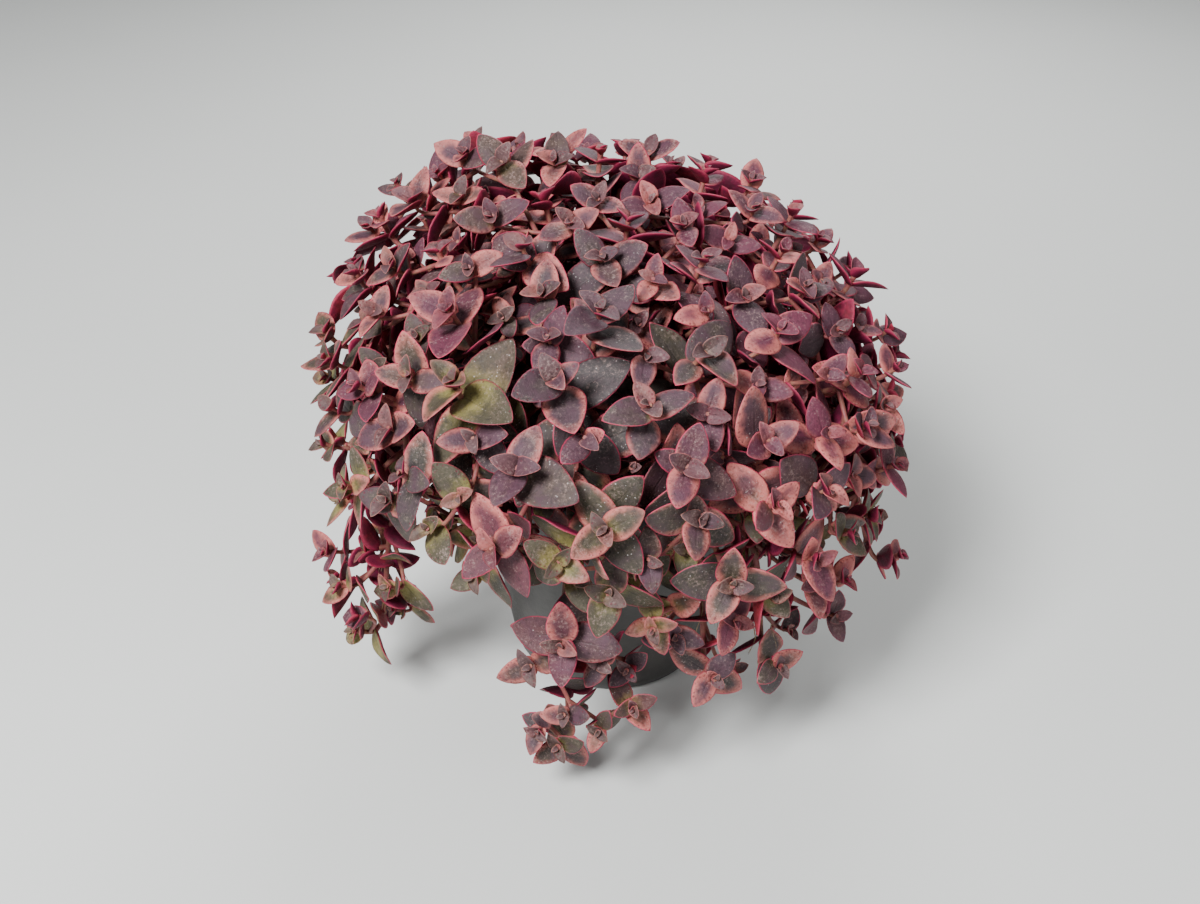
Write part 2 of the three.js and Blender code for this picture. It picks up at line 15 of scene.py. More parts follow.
import bmesh
import bpy
import numpy as np
from bpy.types import Material, Mesh, Node, NodeSocket, NodeTree, Object
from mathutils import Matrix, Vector


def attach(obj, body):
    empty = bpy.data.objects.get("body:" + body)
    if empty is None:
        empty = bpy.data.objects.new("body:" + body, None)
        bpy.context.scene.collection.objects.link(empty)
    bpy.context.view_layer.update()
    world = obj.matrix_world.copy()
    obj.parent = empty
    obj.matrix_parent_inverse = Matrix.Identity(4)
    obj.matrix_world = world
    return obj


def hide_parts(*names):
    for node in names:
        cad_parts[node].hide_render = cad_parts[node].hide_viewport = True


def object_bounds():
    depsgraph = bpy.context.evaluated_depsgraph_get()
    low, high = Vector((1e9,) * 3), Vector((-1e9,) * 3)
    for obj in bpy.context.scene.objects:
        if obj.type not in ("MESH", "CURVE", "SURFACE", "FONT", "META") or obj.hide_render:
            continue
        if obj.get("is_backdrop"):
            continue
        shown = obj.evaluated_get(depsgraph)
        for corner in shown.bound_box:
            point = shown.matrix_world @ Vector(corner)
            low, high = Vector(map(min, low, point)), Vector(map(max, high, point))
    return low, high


LOG = logging.getLogger("crassula")
MM = 0.001
UP = np.array([0.0, 0.0, 1.0])
WORD = 0xFFFFFFFF

Point = np.ndarray
Draw = Callable[[], float]


def draws_from(seed: int) -> Draw:
    """Start a repeatable stream of numbers.

    Args:
        seed: The number that the stream starts from.

    Returns:
        A function whose every call gives the next number from 0 to 1.
    """
    state = seed & WORD

    def draw() -> float:
        """Give the next number from 0 to 1.

        Returns:
            The number.
        """
        nonlocal state
        state = (state + 0x6D2B79F5) & WORD
        mixed = ((state ^ (state >> 15)) * (state | 1)) & WORD
        step = ((mixed ^ (mixed >> 7)) * (mixed | 61)) & WORD
        mixed = (mixed ^ (mixed + step)) & WORD
        return (mixed ^ (mixed >> 14)) / (WORD + 1)

    return draw


def outward(bearing: float) -> Point:
    """Give the level direction away from the pot's axis at a bearing, counted from the front."""
    return np.array([math.sin(math.radians(bearing)), -math.cos(math.radians(bearing)), 0.0])


def sideways(bearing: float) -> Point:
    """Give the level direction along the pot's rim at a bearing."""
    return np.array([math.cos(math.radians(bearing)), math.sin(math.radians(bearing)), 0.0])


def placed(bearing: float, reach: float, height: float) -> Point:
    """Give the point at a bearing, a distance from the pot's axis and a height."""
    return outward(bearing) * reach + UP * height


def unit(vector: Point) -> Point:
    """Give the vector at length one."""
    return vector / np.linalg.norm(vector)


def blend(low: float, high: float, share: float) -> float:
    """Give the value a share of the way from low to high."""
    return low + (high - low) * share


@dataclass(frozen=True)
class PotSizes:
    """The pot and its soil, as the solids have them."""

    height: float = 90
    base_radius: float = 35
    rim_radius: float = 49
    wall: float = 1.6
    floor: float = 2.2
    band_height: float = 11
    band_step: float = 1.4
    foot_inset: float = 1.2
    soil_top: float = 82
    soil_gap: float = 0.35
    soil_bump: float = 0.7
    drains: int = 6
    drain_radius: float = 4
    drain_ring: float = 23

    def radius(self, height: float) -> float:
        """Give the outer radius of the wall below its band at a height."""
        top = self.rim_radius - self.band_step
        return self.base_radius + (top - self.base_radius) * height / self.height


POT = PotSizes()


@dataclass(frozen=True)
class CrownShape:
    """The surface that the crown's shoots end at: an ellipsoid over a skirt."""

    centre: float = 102
    reach: float = 96
    rise: float = 68
    drop: float = 56
    swell_back: float = 10
    swell_shoulder: float = 14
    shoulder_bearing: float = -125
    shoulder_power: float = 6
    hem: float = 112
    hem_front: float = 14
    hem_right: float = 8

    def point(self, bearing: float, polar: float, above: float = 0) -> Point:
        """Give a point of the surface.

        Args:
            bearing: Angle round the pot, from the front.
            polar: Angle down from the crown's top.
            above: Distance outside the surface, on its upper half.

        Returns:
            The point.
        """
        sine = math.sin(math.radians(polar))
        cosine = math.cos(math.radians(polar))
        if cosine >= 0:
            height = self.centre + (self.rise + above) * cosine
            return placed(bearing, (self.reach + above) * sine, height)
        height = self.centre - self.drop * math.pow(-cosine, 0.8)
        return placed(bearing, self.reach * math.sqrt(sine), height)

    def swell(self, bearing: float, polar: float) -> float:
        """Give how far outside the surface the shoots stand: behind, and more at one shoulder.

        Args:
            bearing: Angle round the pot.
            polar: Angle down from the top.

        Returns:
            The distance.
        """
        if polar > 90:
            return 0
        back = max(0.0, -math.cos(math.radians(bearing)))
        shoulder = max(0.0, math.cos(math.radians(bearing - self.shoulder_bearing)))
        most = self.swell_back * back + self.swell_shoulder * shoulder**self.shoulder_power
        return most * math.sin(math.radians(2 * polar))

    def hem_polar(self, bearing: float) -> float:
        """Give the polar angle that the skirt reaches down to at a bearing."""
        angle = math.radians(bearing)
        return self.hem - self.hem_front * math.cos(angle) + self.hem_right * math.sin(angle)

    def lowest_share(self) -> float:
        """Give the share of a sphere, from 0 to 2, that lies above the lowest hem."""
        return 1 - math.cos(math.radians(self.hem + self.hem_front + self.hem_right))


CROWN = CrownShape()


@dataclass(frozen=True)
class GrowthRule:
    """How stems find their way and how leaves stand on them, as in the solids."""

    root_reach: float = 40
    root_power: float = 0.8
    widest_polar: float = 130
    sunk: float = 4.6
    fork_at: float = 0.62
    tips: float = 27.2
    fork_reach: float = 33
    spiral_points: int = 900
    golden_angle: float = 137.508
    leaf_least: float = 13
    leaf_most: float = 18
    face_lift: float = 0.5
    face_tilt: float = 0.5
    face_swing: float = 0.5
    trail_face_polar: float = 96
    trail_root_polar: float = 118
    trail_per_drop: float = 0.16
    lean_least: float = -0.5
    lean_most: float = 0.8
    over_rim: float = 62
    rise: float = 9
    flare: float = 1.04
    arch: float = 3
    approach: float = 9
    side_approach: float = 8
    rim_out: float = 12
    rim_in: float = 7
    rim_up: float = 5
    rim_arch: float = 22
    to_face: float = 0.75
    to_face_per_rank: float = 0.09
    turn: float = 24
    reach: float = 0.2
    spread: float = 22
    curl: float = 0.16
    tilt: float = 26
    seed: int = 417


RULE = GrowthRule()


@dataclass(frozen=True)
class PairPlace:
    """A pair of leaves: its distance below the tip, its spread and its share of full length."""

    below: float
    spread: float
    size: float


PAIRS = (
    PairPlace(0.4, 22, 0.2),
    PairPlace(2, 54, 0.42),
    PairPlace(4.5, 66, 0.74),
    PairPlace(9, 80, 1),
    PairPlace(17, 88, 1),
    PairPlace(28, 92, 0.95),
    PairPlace(40, 92, 0.9),
    PairPlace(53, 92, 0.85),
)
FIRST_RANK = 1
MAIN_RANKS = 5
SIDE_RANKS = 4
TRAILING_RANKS = 8


@dataclass(frozen=True)
class Attempt:
    """One way to move a leaf that has no room: lift to the tip, turn round the stem, and shrink."""

    lift: float
    turn: float
    size: float


ATTEMPTS = (
    Attempt(0, 0, 1),
    Attempt(0, 15, 1),
    Attempt(0, -15, 1),
    Attempt(16, 0, 1),
    Attempt(-14, 0, 1),
    Attempt(12, 24, 0.9),
    Attempt(12, -24, 0.9),
    Attempt(30, 0, 0.85),
    Attempt(20, 30, 0.75),
    Attempt(20, -30, 0.75),
    Attempt(42, 0, 0.7),
    Attempt(10, 0, 0.6),
)


class Tone(Enum):
    """The colour family of a shoot's leaves, as where green starts and how red the rest is."""

    MIXED = (0.5, 0.5)
    GREY = (0.35, 0.25)
    PINK = (0.45, 0.75)
    GREEN = (0.66, 0.5)
    CRIMSON = (0.15, 0.95)


@dataclass(frozen=True)
class ShootPlan:
    """A listed shoot, on the crown by its polar angle or trailing by its height."""

    bearing: float
    polar: float = 0
    leaf: float | None = None
    turn: float | None = None
    above: float = 0
    erect: float = 1
    reach: float = 0
    height: float | None = None
    tone: Tone = Tone.MIXED


CROWN_SHOOTS = (
    ShootPlan(-18, 64, 19, 90),
    ShootPlan(-37, 51, 21, 80, tone=Tone.GREEN),
    ShootPlan(-14, 45, 20, 40, tone=Tone.GREY),
    ShootPlan(7, 50, 19, 20, tone=Tone.GREY),
    ShootPlan(13, 63, 17, 60, tone=Tone.PINK),
    ShootPlan(-21, 84, 18, 45, tone=Tone.PINK),
    ShootPlan(44, 66, 15, 65, tone=Tone.PINK),
    ShootPlan(-52, 39, 18, 30, tone=Tone.PINK),
    ShootPlan(-5, 30, 19, 55, tone=Tone.GREY),
    ShootPlan(24, 41, 20, 110, tone=Tone.GREY),
    ShootPlan(48, 22, 16, 85, tone=Tone.PINK),
    ShootPlan(35, 5, 15, 30, tone=Tone.PINK),
    ShootPlan(-120, 15, 15, 0, tone=Tone.PINK),
    ShootPlan(-85, 34, 14, 20),
    ShootPlan(-62, 64, 14, 50, tone=Tone.PINK),
    ShootPlan(-41, 74, 14, 10),
    ShootPlan(-58, 90, 13, 40),
    ShootPlan(29, 76, 15, 15, tone=Tone.PINK),
    ShootPlan(-2, 76, 16, 35),
    ShootPlan(20, 93, 16, 70),
    ShootPlan(38, 95, 19, 100, tone=Tone.PINK),
    ShootPlan(62, 60, 14, 25, tone=Tone.CRIMSON),
    ShootPlan(47, 42, 17, 5, tone=Tone.CRIMSON),
    ShootPlan(66, 90, 14, 60, tone=Tone.CRIMSON),
    ShootPlan(84, 33, 14, 75, tone=Tone.CRIMSON),
    ShootPlan(-112, 50, 14, 15, above=12, tone=Tone.CRIMSON),
    ShootPlan(-140, 34, 22, 0, above=5, erect=0.6, tone=Tone.CRIMSON),
    ShootPlan(138, 27, 13, 80, above=5, tone=Tone.CRIMSON),
)

TRAILING_STEMS = (
    (
        ShootPlan(-12, reach=84, height=23, leaf=14, turn=30, tone=Tone.GREEN),
        ShootPlan(-10, reach=90, height=72, leaf=18, turn=90, tone=Tone.GREEN),
    ),
    (
        ShootPlan(-66, reach=96, height=33, leaf=14, turn=60),
        ShootPlan(-76, reach=100, height=55, leaf=15, turn=0, tone=Tone.PINK),
    ),
    (
        ShootPlan(21, reach=86, height=51, leaf=14, turn=45, tone=Tone.GREY),
        ShootPlan(7, reach=91, height=80, leaf=12, turn=20, tone=Tone.GREEN),
    ),
    (
        ShootPlan(36, reach=89, height=48, leaf=13, turn=10, tone=Tone.GREY),
        ShootPlan(51, reach=92, height=56, leaf=14, turn=80, tone=Tone.PINK),
    ),
    (ShootPlan(76, reach=101, height=54, leaf=13, turn=30, tone=Tone.CRIMSON),),
)


class StemCurve:
    """A smooth curve through a stem's points, measured along its length."""

    divisions = 200

    def __init__(self, points: Sequence[Point]) -> None:
        """Fit the curve.

        Args:
            points: The points that it passes through, from root to tip.
        """
        ends = [2 * points[0] - points[1], *points, 2 * points[-1] - points[-2]]
        self.spans = [self._span(ends[i : i + 4]) for i in range(len(points) - 1)]
        self.shares = np.linspace(0, 1, self.divisions + 1)
        steps = np.diff([self._point(share) for share in self.shares], axis=0)
        self.reached = np.concatenate([[0], np.cumsum(np.linalg.norm(steps, axis=1))])
        self.length = float(self.reached[-1])

    @staticmethod
    def _span(points: Sequence[Point]) -> list[Point]:
        """Give the four coefficients of the centripetal span between the middle two of four points.

        Args:
            points: The four points.

        Returns:
            The coefficients, the lowest power first.
        """
        before, low, high, after = points
        gaps = [math.sqrt(np.linalg.norm(b - a)) for a, b in zip(points, points[1:])]
        first, middle, last = gaps
        middle = middle if middle > 1e-4 else 1.0
        first = first if first > 1e-4 else middle
        last = last if last > 1e-4 else middle
        leave = (low - before) / first - (high - before) / (first + middle) + (high - low) / middle
        arrive = (high - low) / middle - (after - low) / (middle + last) + (after - high) / last
        leave = leave * middle
        arrive = arrive * middle
        return [
            low,
            leave,
            3 * (high - low) - 2 * leave - arrive,
            2 * (low - high) + leave + arrive,
        ]

    def _point(self, share: float) -> Point:
        """Give the point at a share of the spans.

        Args:
            share: The share.

        Returns:
            The point.
        """
        place = len(self.spans) * share
        number = min(int(place), len(self.spans) - 1)
        a, b, c, d = self.spans[number]
        rest = place - number
        return a + rest * (b + rest * (c + rest * d))

    def _share(self, along: float) -> float:
        """Turn a share of the length into a share of the spans."""
        return float(np.interp(along * self.length, self.reached, self.shares))

    def point(self, along: float) -> Point:
        """Give the point at a share of the length."""
        return self._point(self._share(along))

    def tangent(self, along: float) -> Point:
        """Give the direction towards the tip at a share of the length.

        Args:
            along: The share.

        Returns:
            The direction.
        """
        share = self._share(along)
        low = max(0.0, share - 0.0001)
        high = min(1.0, share + 0.0001)
        return unit(self._point(high) - self._point(low))


@dataclass
class Shoot:
    """A growing tip: where it ends, where it looks, and how its leaves stand."""

    bearing: float
    polar: float
    tip: Point
    face: Point
    leaf: float
    turn: float
    erect: float
    draw: Draw
    tone: Tone


@dataclass(frozen=True)
class Leaf:
    """A leaf on its stem, with its own three directions."""

    base: Point
    direction: Point
    up: Point
    length: float
    curl: float

    width = 0.7
    cup = 0.28
    lobe = 0.05

    @staticmethod
    def profile(along: np.ndarray) -> np.ndarray:
        """Give the half width at a share of the length, as a share of the greatest."""
        return np.power(along, 0.5) * np.power(1 - along, 0.8) / 0.4206

    def points(self, along: np.ndarray, across: np.ndarray) -> np.ndarray:
        """Give points of the middle surface.

        Args:
            along: Shares of the length, from the stem to the tip.
            across: Shares of the half width, from -1 to 1.

        Returns:
            One row for each point.
        """
        half = self.length * self.width / 2
        y = half * self.profile(along) * across
        x = self.length * (along - self.lobe * across * across * (1 - along) ** 2)
        z = self.cup * y * y / half + self.length * self.curl * along * along
        sides = np.cross(self.up, self.direction)
        return self.base + np.outer(x, self.direction) + np.outer(y, sides) + np.outer(z, self.up)

    def samples(self, step: float) -> np.ndarray:
        """Give points spread over the leaf, about a step apart.

        Args:
            step: The distance.

        Returns:
            One row for each point.
        """
        rows = max(3, math.ceil(self.length / step))
        along: list[float] = []
        across: list[float] = []
        for row in range(1, rows + 1):
            share = row / rows
            width = self.length * self.width * float(self.profile(np.float64(share)))
            columns = max(1, math.ceil(width / step))
            along += [share] * (columns + 1)
            across += [2 * column / columns - 1 for column in range(columns + 1)]
        return self.points(np.array(along), np.array(across))


@dataclass(frozen=True)
class LeafDraw:
    """What chance gives one leaf before it is set on its stem."""

    turn: float
    spread: float
    length: float
    curl: float
    tilt: float


@dataclass
class Pair:
    """Two opposite leaves at one joint of a stem."""

    rank: int
    base: Point
    along: Point
    axis: Point
    side: Point
    draws: list[LeafDraw]
    leaves: list[Leaf] = field(default_factory=list)
    solid: bool = False

    def set_leaf(self, drawn: LeafDraw, attempt: Attempt) -> Leaf:
        """Set one leaf on the stem.

        Args:
            drawn: What chance gave the leaf.
            attempt: How it is moved to find room.

        Returns:
            The leaf.
        """
        turn = math.radians(drawn.turn + attempt.turn)
        spread = math.radians(drawn.spread - attempt.lift)
        tilt = math.radians(drawn.tilt)
        third = np.cross(self.axis, self.side)
        away = self.side * math.cos(turn) + third * math.sin(turn)
        direction = away * math.sin(spread) + self.axis * math.cos(spread)
        flat = away * -math.cos(spread) + self.axis * math.sin(spread)
        level = np.cross(flat, direction)
        up = flat * math.cos(tilt) + level * math.sin(tilt)
        return Leaf(self.base, direction, up, drawn.length * attempt.size, drawn.curl)


@dataclass
class StemPart:
    """One shoot with the stem that carries it."""

    shoot: Shoot
    curve: StemCurve
    radius: float
    ranks: int
    number: int = 0
    pairs: list[Pair] = field(default_factory=list)

    def pair(self, rank: int) -> Pair:
        """Draw the pair of leaves at one joint, as it would grow with nothing in the way.

        Args:
            rank: The pair's number, from the tip down.

        Returns:
            The pair, with no leaves yet.
        """
        shoot = self.shoot
        place = PAIRS[rank]
        at = max(0.0, 1 - place.below / self.curve.length)
        along = self.curve.tangent(at)
        to_face = RULE.to_face - RULE.to_face_per_rank * rank
        axis = unit(along + (shoot.face - along) * to_face)
        side = sideways(shoot.bearing)
        side = unit(side - axis * float(np.dot(side, axis)))
        turn = shoot.turn + 90 * rank + RULE.turn * (shoot.draw() - 0.5)
        length = shoot.leaf * place.size * (1 + RULE.reach * (shoot.draw() - 0.5))
        draws = []
        for half in (0, 180):
            spread = place.spread * shoot.erect + RULE.spread * (shoot.draw() - 0.5)
            curl = RULE.curl * (shoot.draw() - 0.62)
            tilt = RULE.tilt * (shoot.draw() - 0.5)
            draws.append(LeafDraw(turn + half, spread, length, curl, tilt))
        return Pair(rank, self.curve.point(at), along, axis, side, draws)


@dataclass
class LeafyStem:
    """A stem with its main shoot and whatever branches from it."""

    parts: list[StemPart]


class Occupied:
    """What already stands in space, and whose it is."""

    cell = 8.0

    def __init__(self, clear: float, own: float, joint: float, step: float) -> None:
        """Start with empty space.

        Args:
            clear: Distance that a leaf keeps from other shoots.
            own: Distance that it keeps from its own shoot.
            joint: Distance from the leaf's base within which its own shoot may crowd it.
            step: Distance between the points that stand for a leaf.
        """
        self.clear = clear
        self.own = own
        self.joint = joint
        self.step = step
        self.cells: dict[tuple[int, int, int], list[int]] = {}
        self.rows: list[tuple[float, ...]] = []
        self.table = np.zeros((4096, 5))
        self.filled = 0

    def add(self, points: np.ndarray, owner: int, from_base: np.ndarray) -> None:
        """Put points into space.

        Args:
            points: One row for each point.
            owner: The number of the part that they belong to.
            from_base: Each point's distance from its leaf's base.
        """
        start = len(self.rows)
        for i, (cell, point) in enumerate(zip(self._cells(points), points)):
            self.cells.setdefault(cell, []).append(start + i)
            self.rows.append((*point, owner, from_base[i]))

    def _cells(self, points: np.ndarray) -> list[tuple[int, int, int]]:
        """Give the cell that each point lies in."""
        return [tuple(row) for row in np.floor(points / self.cell).astype(int).tolist()]

    def _near(self, points: np.ndarray) -> list[int]:
        """Give the numbers of the points in every cell that these points could reach.

        Args:
            points: One row for each point.

        Returns:
            Their row numbers.
        """
        low = np.floor((points.min(axis=0) - self.clear) / self.cell).astype(int)
        high = np.floor((points.max(axis=0) + self.clear) / self.cell).astype(int)
        found: list[int] = []
        for i in range(low[0], high[0] + 1):
            for j in range(low[1], high[1] + 1):
                for k in range(low[2], high[2] + 1):
                    found += self.cells.get((i, j, k), [])
        return found

    def _fill_table(self) -> None:
        """Copy the new rows into the table, which doubles when it is full."""
        count = len(self.rows)
        if count > len(self.table):
            room = np.zeros((2 * count, 5))
            room[: self.filled] = self.table[: self.filled]
            self.table = room
        if count > self.filled:
            self.table[self.filled : count] = self.rows[self.filled :]
            self.filled = count

    def blocks(self, points: np.ndarray, owner: int, from_base: np.ndarray) -> bool:
        """Tell whether any of the points is too near what stands there.

        Args:
            points: One row for each point.
            owner: The number of the part that they belong to.
            from_base: Each point's distance from its leaf's base.

        Returns:
            True where one is.
        """
        near = self._near(points)
        if not near:
            return False
        self._fill_table()
        others = self.table[near]
        places = others[:, :3]
        sizes = (points**2).sum(axis=1)[:, None] + (places**2).sum(axis=1)[None, :]
        apart = sizes - 2 * points @ places.T
        mine = others[:, 3] == owner
        if (apart[:, ~mine] < self.clear**2).any():
            return True
        open_space = np.minimum(from_base[:, None], others[None, :, 4]) > self.joint
        return bool(((apart < self.own**2) & open_space & mine[None, :]).any())

    def blocks_leaf(self, points: np.ndarray, owner: int, from_base: np.ndarray) -> bool:
        """Args:
            points: One row for each point.
            owner: The number of the part that they belong to.
            from_base: Each point's distance from its leaf's base.

        Returns:
            True where one is.
        """
        if self.blocks(points[::-7], owner, from_base[::-7]):
            return True
        return self.blocks(points, owner, from_base)


def meets_pot(points: np.ndarray) -> bool:
    """Tell whether any point is too near the pot, the soil or the surface that the pot stands on.

    Args:
        points: One row for each point.

    Returns:
        True where one is.
    """
    reach = np.hypot(points[:, 0], points[:, 1])
    height = points[:, 2]
    beside = (height <= POT.height + 2) & (reach < POT.rim_radius + 2)
    return bool(((height < 2) | beside).any())


class Plant:
    """All the leafy stems, grown by the rule of the solids."""

    def __init__(self) -> None:
        """Lay out the stems and grow the leaves of the solids."""
        trailing = self._trailing_shoots()
        flat = [shoot for group in trailing for shoot in group]
        crown = self._crown_shoots(flat)
        self.stems = [self._stem(group, TRAILING_RANKS) for group in trailing]
        self._crown_stems(crown)
        self.parts = [part for stem in self.stems for part in stem.parts]
        for number, part in enumerate(self.parts):
            part.number = number
        self._grow()

    @staticmethod
    def face(bearing: float, polar: float, draw: Draw) -> Point:
        """Give the way that a shoot looks: out of the crown and up to the light.

        Args:
            bearing: Angle round the pot.
            polar: Angle down from the top.
            draw: The shoot's own stream of numbers.

        Returns:
            The direction.
        """
        tilt = (draw() - 0.5) * RULE.face_tilt
        swing = (draw() - 0.5) * RULE.face_swing
        out = outward(bearing) * (math.sin(math.radians(polar)) + tilt)
        high = UP * (math.cos(math.radians(polar)) + RULE.face_lift)
        return unit(out + high + sideways(bearing) * swing)

    def shoot(self, plan: ShootPlan, number: int) -> Shoot:
        """Make a shoot from its plan.

        Args:
            plan: Where it stands, with the values that are given one by one.
            number: Its number, which its own draws start from.

        Returns:
            The shoot.
        """
        draw = draws_from(RULE.seed + 1009 * number)
        if plan.height is None:
            polar = plan.polar
            tip = CROWN.point(plan.bearing, plan.polar, plan.above)
            face = self.face(plan.bearing, plan.polar, draw)
        else:
            polar = RULE.trail_root_polar + (POT.height - plan.height) * RULE.trail_per_drop
            tip = placed(plan.bearing, plan.reach, plan.height)
            face = self.face(plan.bearing, RULE.trail_face_polar, draw)
        leaf = plan.leaf
        if leaf is None:
            leaf = blend(RULE.leaf_least, RULE.leaf_most, draw())
        turn = plan.turn
        if turn is None:
            turn = 180 * draw()
        return Shoot(plan.bearing, polar, tip, face, leaf, turn, plan.erect, draw, plan.tone)

    def _trailing_shoots(self) -> list[list[Shoot]]:
        """Make the shoots of the trailing stems.

        Returns:
            The shoots of each stem.
        """
        groups = []
        number = 0
        for group in TRAILING_STEMS:
            groups.append([self.shoot(plan, number + i) for i, plan in enumerate(group)])
            number += len(group)
        return groups

    def _crown_shoots(self, trailing: list[Shoot]) -> list[Shoot]:
        """Make the crown's shoots: those listed, then a spiral wherever there is room.

        Args:
            trailing: The trailing shoots, which they keep clear of.

        Returns:
            The shoots.
        """
        first = len(trailing)
        shoots = [self.shoot(plan, first + i) for i, plan in enumerate(CROWN_SHOOTS)]
        for bearing, polar in spiral(RULE.spiral_points):
            above = CROWN.swell(bearing, polar)
            tip = CROWN.point(bearing, polar, above)
            others = [*trailing, *shoots]
            if all(np.linalg.norm(other.tip - tip) > RULE.tips for other in others):
                plan = ShootPlan(bearing, polar, above=above)
                shoots.append(self.shoot(plan, len(others)))
        return shoots

    @staticmethod
    def way(shoot: Shoot) -> StemCurve:
        """Give the way of a stem from its root to its tip, over the pot's rim where it has to.

        Args:
            shoot: The shoot at its end.

        Returns:
            The curve, from root to tip.
        """
        share = min(1.0, shoot.polar / RULE.widest_polar)
        reach = RULE.root_reach * math.pow(share, RULE.root_power)
        low = placed(shoot.bearing, reach, POT.soil_top - RULE.sunk)
        neck = placed(shoot.bearing, reach, POT.soil_top - 0.5)
        approach = shoot.tip - shoot.face * RULE.approach
        rise = placed(shoot.bearing, reach * RULE.flare, POT.soil_top + RULE.rise)
        if shoot.polar <= RULE.over_rim:
            middle = (rise + approach) / 2 + UP * RULE.arch
            return StemCurve([low, neck, rise, middle, approach, shoot.tip])
        fall = min(1.0, (shoot.polar - RULE.over_rim) / (RULE.widest_polar - RULE.over_rim))
        apex_reach = POT.rim_radius + RULE.rim_out - RULE.rim_in * fall
        apex_height = POT.height + RULE.rim_up + RULE.rim_arch * (1 - fall)
        tip_reach = math.hypot(shoot.tip[0], shoot.tip[1])
        shoulder = placed(
            shoot.bearing,
            blend(apex_reach, tip_reach, 0.5),
            blend(apex_height, shoot.tip[2], 0.25),
        )
        apex = placed(shoot.bearing, apex_reach, apex_height)
        return StemCurve([low, neck, rise, apex, shoulder, approach, shoot.tip])

    def _stem(self, shoots: Sequence[Shoot], ranks: int) -> LeafyStem:
        """Make a stem from its main shoot and, where it has one, its side shoot.

        Args:
            shoots: The main shoot, and the side shoot.
            ranks: The main one's pairs.

        Returns:
            The stem.
        """
        main = StemPart(shoots[0], self.way(shoots[0]), 1.15, ranks)
        parts = [main]
        for side in shoots[1:]:
            approach = side.tip - side.face * RULE.side_approach
            curve = StemCurve([main.curve.point(RULE.fork_at), approach, side.tip])
            parts.append(StemPart(side, curve, 0.95, SIDE_RANKS))
        return LeafyStem(parts)

    def _crown_stems(self, shoots: list[Shoot]) -> None:
        """Pair each shoot of the crown with its nearest free neighbour.

        Args:
            shoots: The crown's shoots.
        """
        free = list(shoots)
        while free:
            main = free.pop(0)
            near = [s for s in free if np.linalg.norm(s.tip - main.tip) < RULE.fork_reach]
            near.sort(key=lambda other: float(np.linalg.norm(other.tip - main.tip)))
            for side in near[:1]:
                free = [other for other in free if other is not side]
            self.stems.append(self._stem([main, *near[:1]], MAIN_RANKS))

    def _grow(self) -> None:
        """Grow the leaves of the solids, the youngest pairs first."""
        space = Occupied(clear=2.9, own=2.2, joint=4, step=2)
        for part in self.parts:
            add_stem(space, part)
            part.pairs = [part.pair(rank) for rank in range(len(PAIRS))]
        for rank in range(FIRST_RANK, len(PAIRS)):
            for part in self.parts:
                if rank < part.ranks:
                    pair = part.pairs[rank]
                    pair.solid = True
                    pair.leaves = grow_pair(space, part, pair)


def spiral(points: int, below_hem: float = 0) -> Iterable[tuple[float, float]]:
    """Spread bearings and polar angles evenly over the crown, down to its hem or below it.

    Args:
        points: How many are spread.
        below_hem: Angle below the hem that still counts.

    Returns:
        Each bearing and polar angle in turn.
    """
    lowest = CROWN.lowest_share()
    for i in range(points):
        bearing = (i * RULE.golden_angle) % 360
        polar = math.acos(1 - (lowest * (i + 0.5)) / points) * 180 / math.pi
        if polar <= CROWN.hem_polar(bearing) + below_hem:
            yield bearing, polar


def add_stem(space: Occupied, part: StemPart) -> None:
    """Put a stem's own length into space.

    Args:
        space: What stands there already.
        part: The part whose stem it is.
    """
    steps = math.ceil(part.curve.length / space.step)
    points = np.array([part.curve.point(i / steps) for i in range(steps + 1)])
    space.add(points, part.number, np.full(len(points), np.inf))


def add_leaf(space: Occupied, part: StemPart, leaf: Leaf) -> None:
    """Put a grown leaf into space."""
    points = leaf.samples(space.step)
    space.add(points, part.number, np.linalg.norm(points - leaf.base, axis=1))


def grow_pair(space: Occupied, part: StemPart, pair: Pair) -> list[Leaf]:
    """Grow the leaves of a pair that have room.

    Args:
        space: What stands there already. The leaves are added to it.
        part: The stem that carries the pair.
        pair: The pair.

    Returns:
        The leaves, none for one with no room after every attempt.
    """
    grown = []
    for drawn in pair.draws:
        for attempt in ATTEMPTS:
            leaf = pair.set_leaf(drawn, attempt)
            lean = float(np.dot(leaf.direction, pair.along))
            if lean > RULE.lean_most or lean < RULE.lean_least:
                continue
            points = leaf.samples(space.step)
            from_base = np.linalg.norm(points - leaf.base, axis=1)
            if meets_pot(points) or space.blocks_leaf(points, part.number, from_base):
                continue
            space.add(points, part.number, from_base)
            grown.append(leaf)
            break
    return grown


@dataclass(frozen=True)
class Host:
    """A place on a grown stem that a small shoot can branch from."""

    part: StemPart
    point: Point
    tangent: Point


@dataclass(frozen=True)
class Layer:
    """One round of small shoots under the crown's surface, down to below its hem by an angle."""

    shallowest: float
    deepest: float
    tips: float
    leaf_least: float
    leaf_most: float
    below_hem: float


LAYERS = (
    Layer(0, 7, 16, 13, 18, 0),
    Layer(7, 17, 14.5, 12, 17, 4),
    Layer(16, 28, 14, 13, 18, 12),
    Layer(28, 42, 15, 13, 18, 16),
)


@dataclass(frozen=True)
class Sprig:
    """A listed small shoot below the crown."""

    bearing: float
    reach: float
    height: float
    leaf: float
    turn: float
    tone: Tone = Tone.MIXED


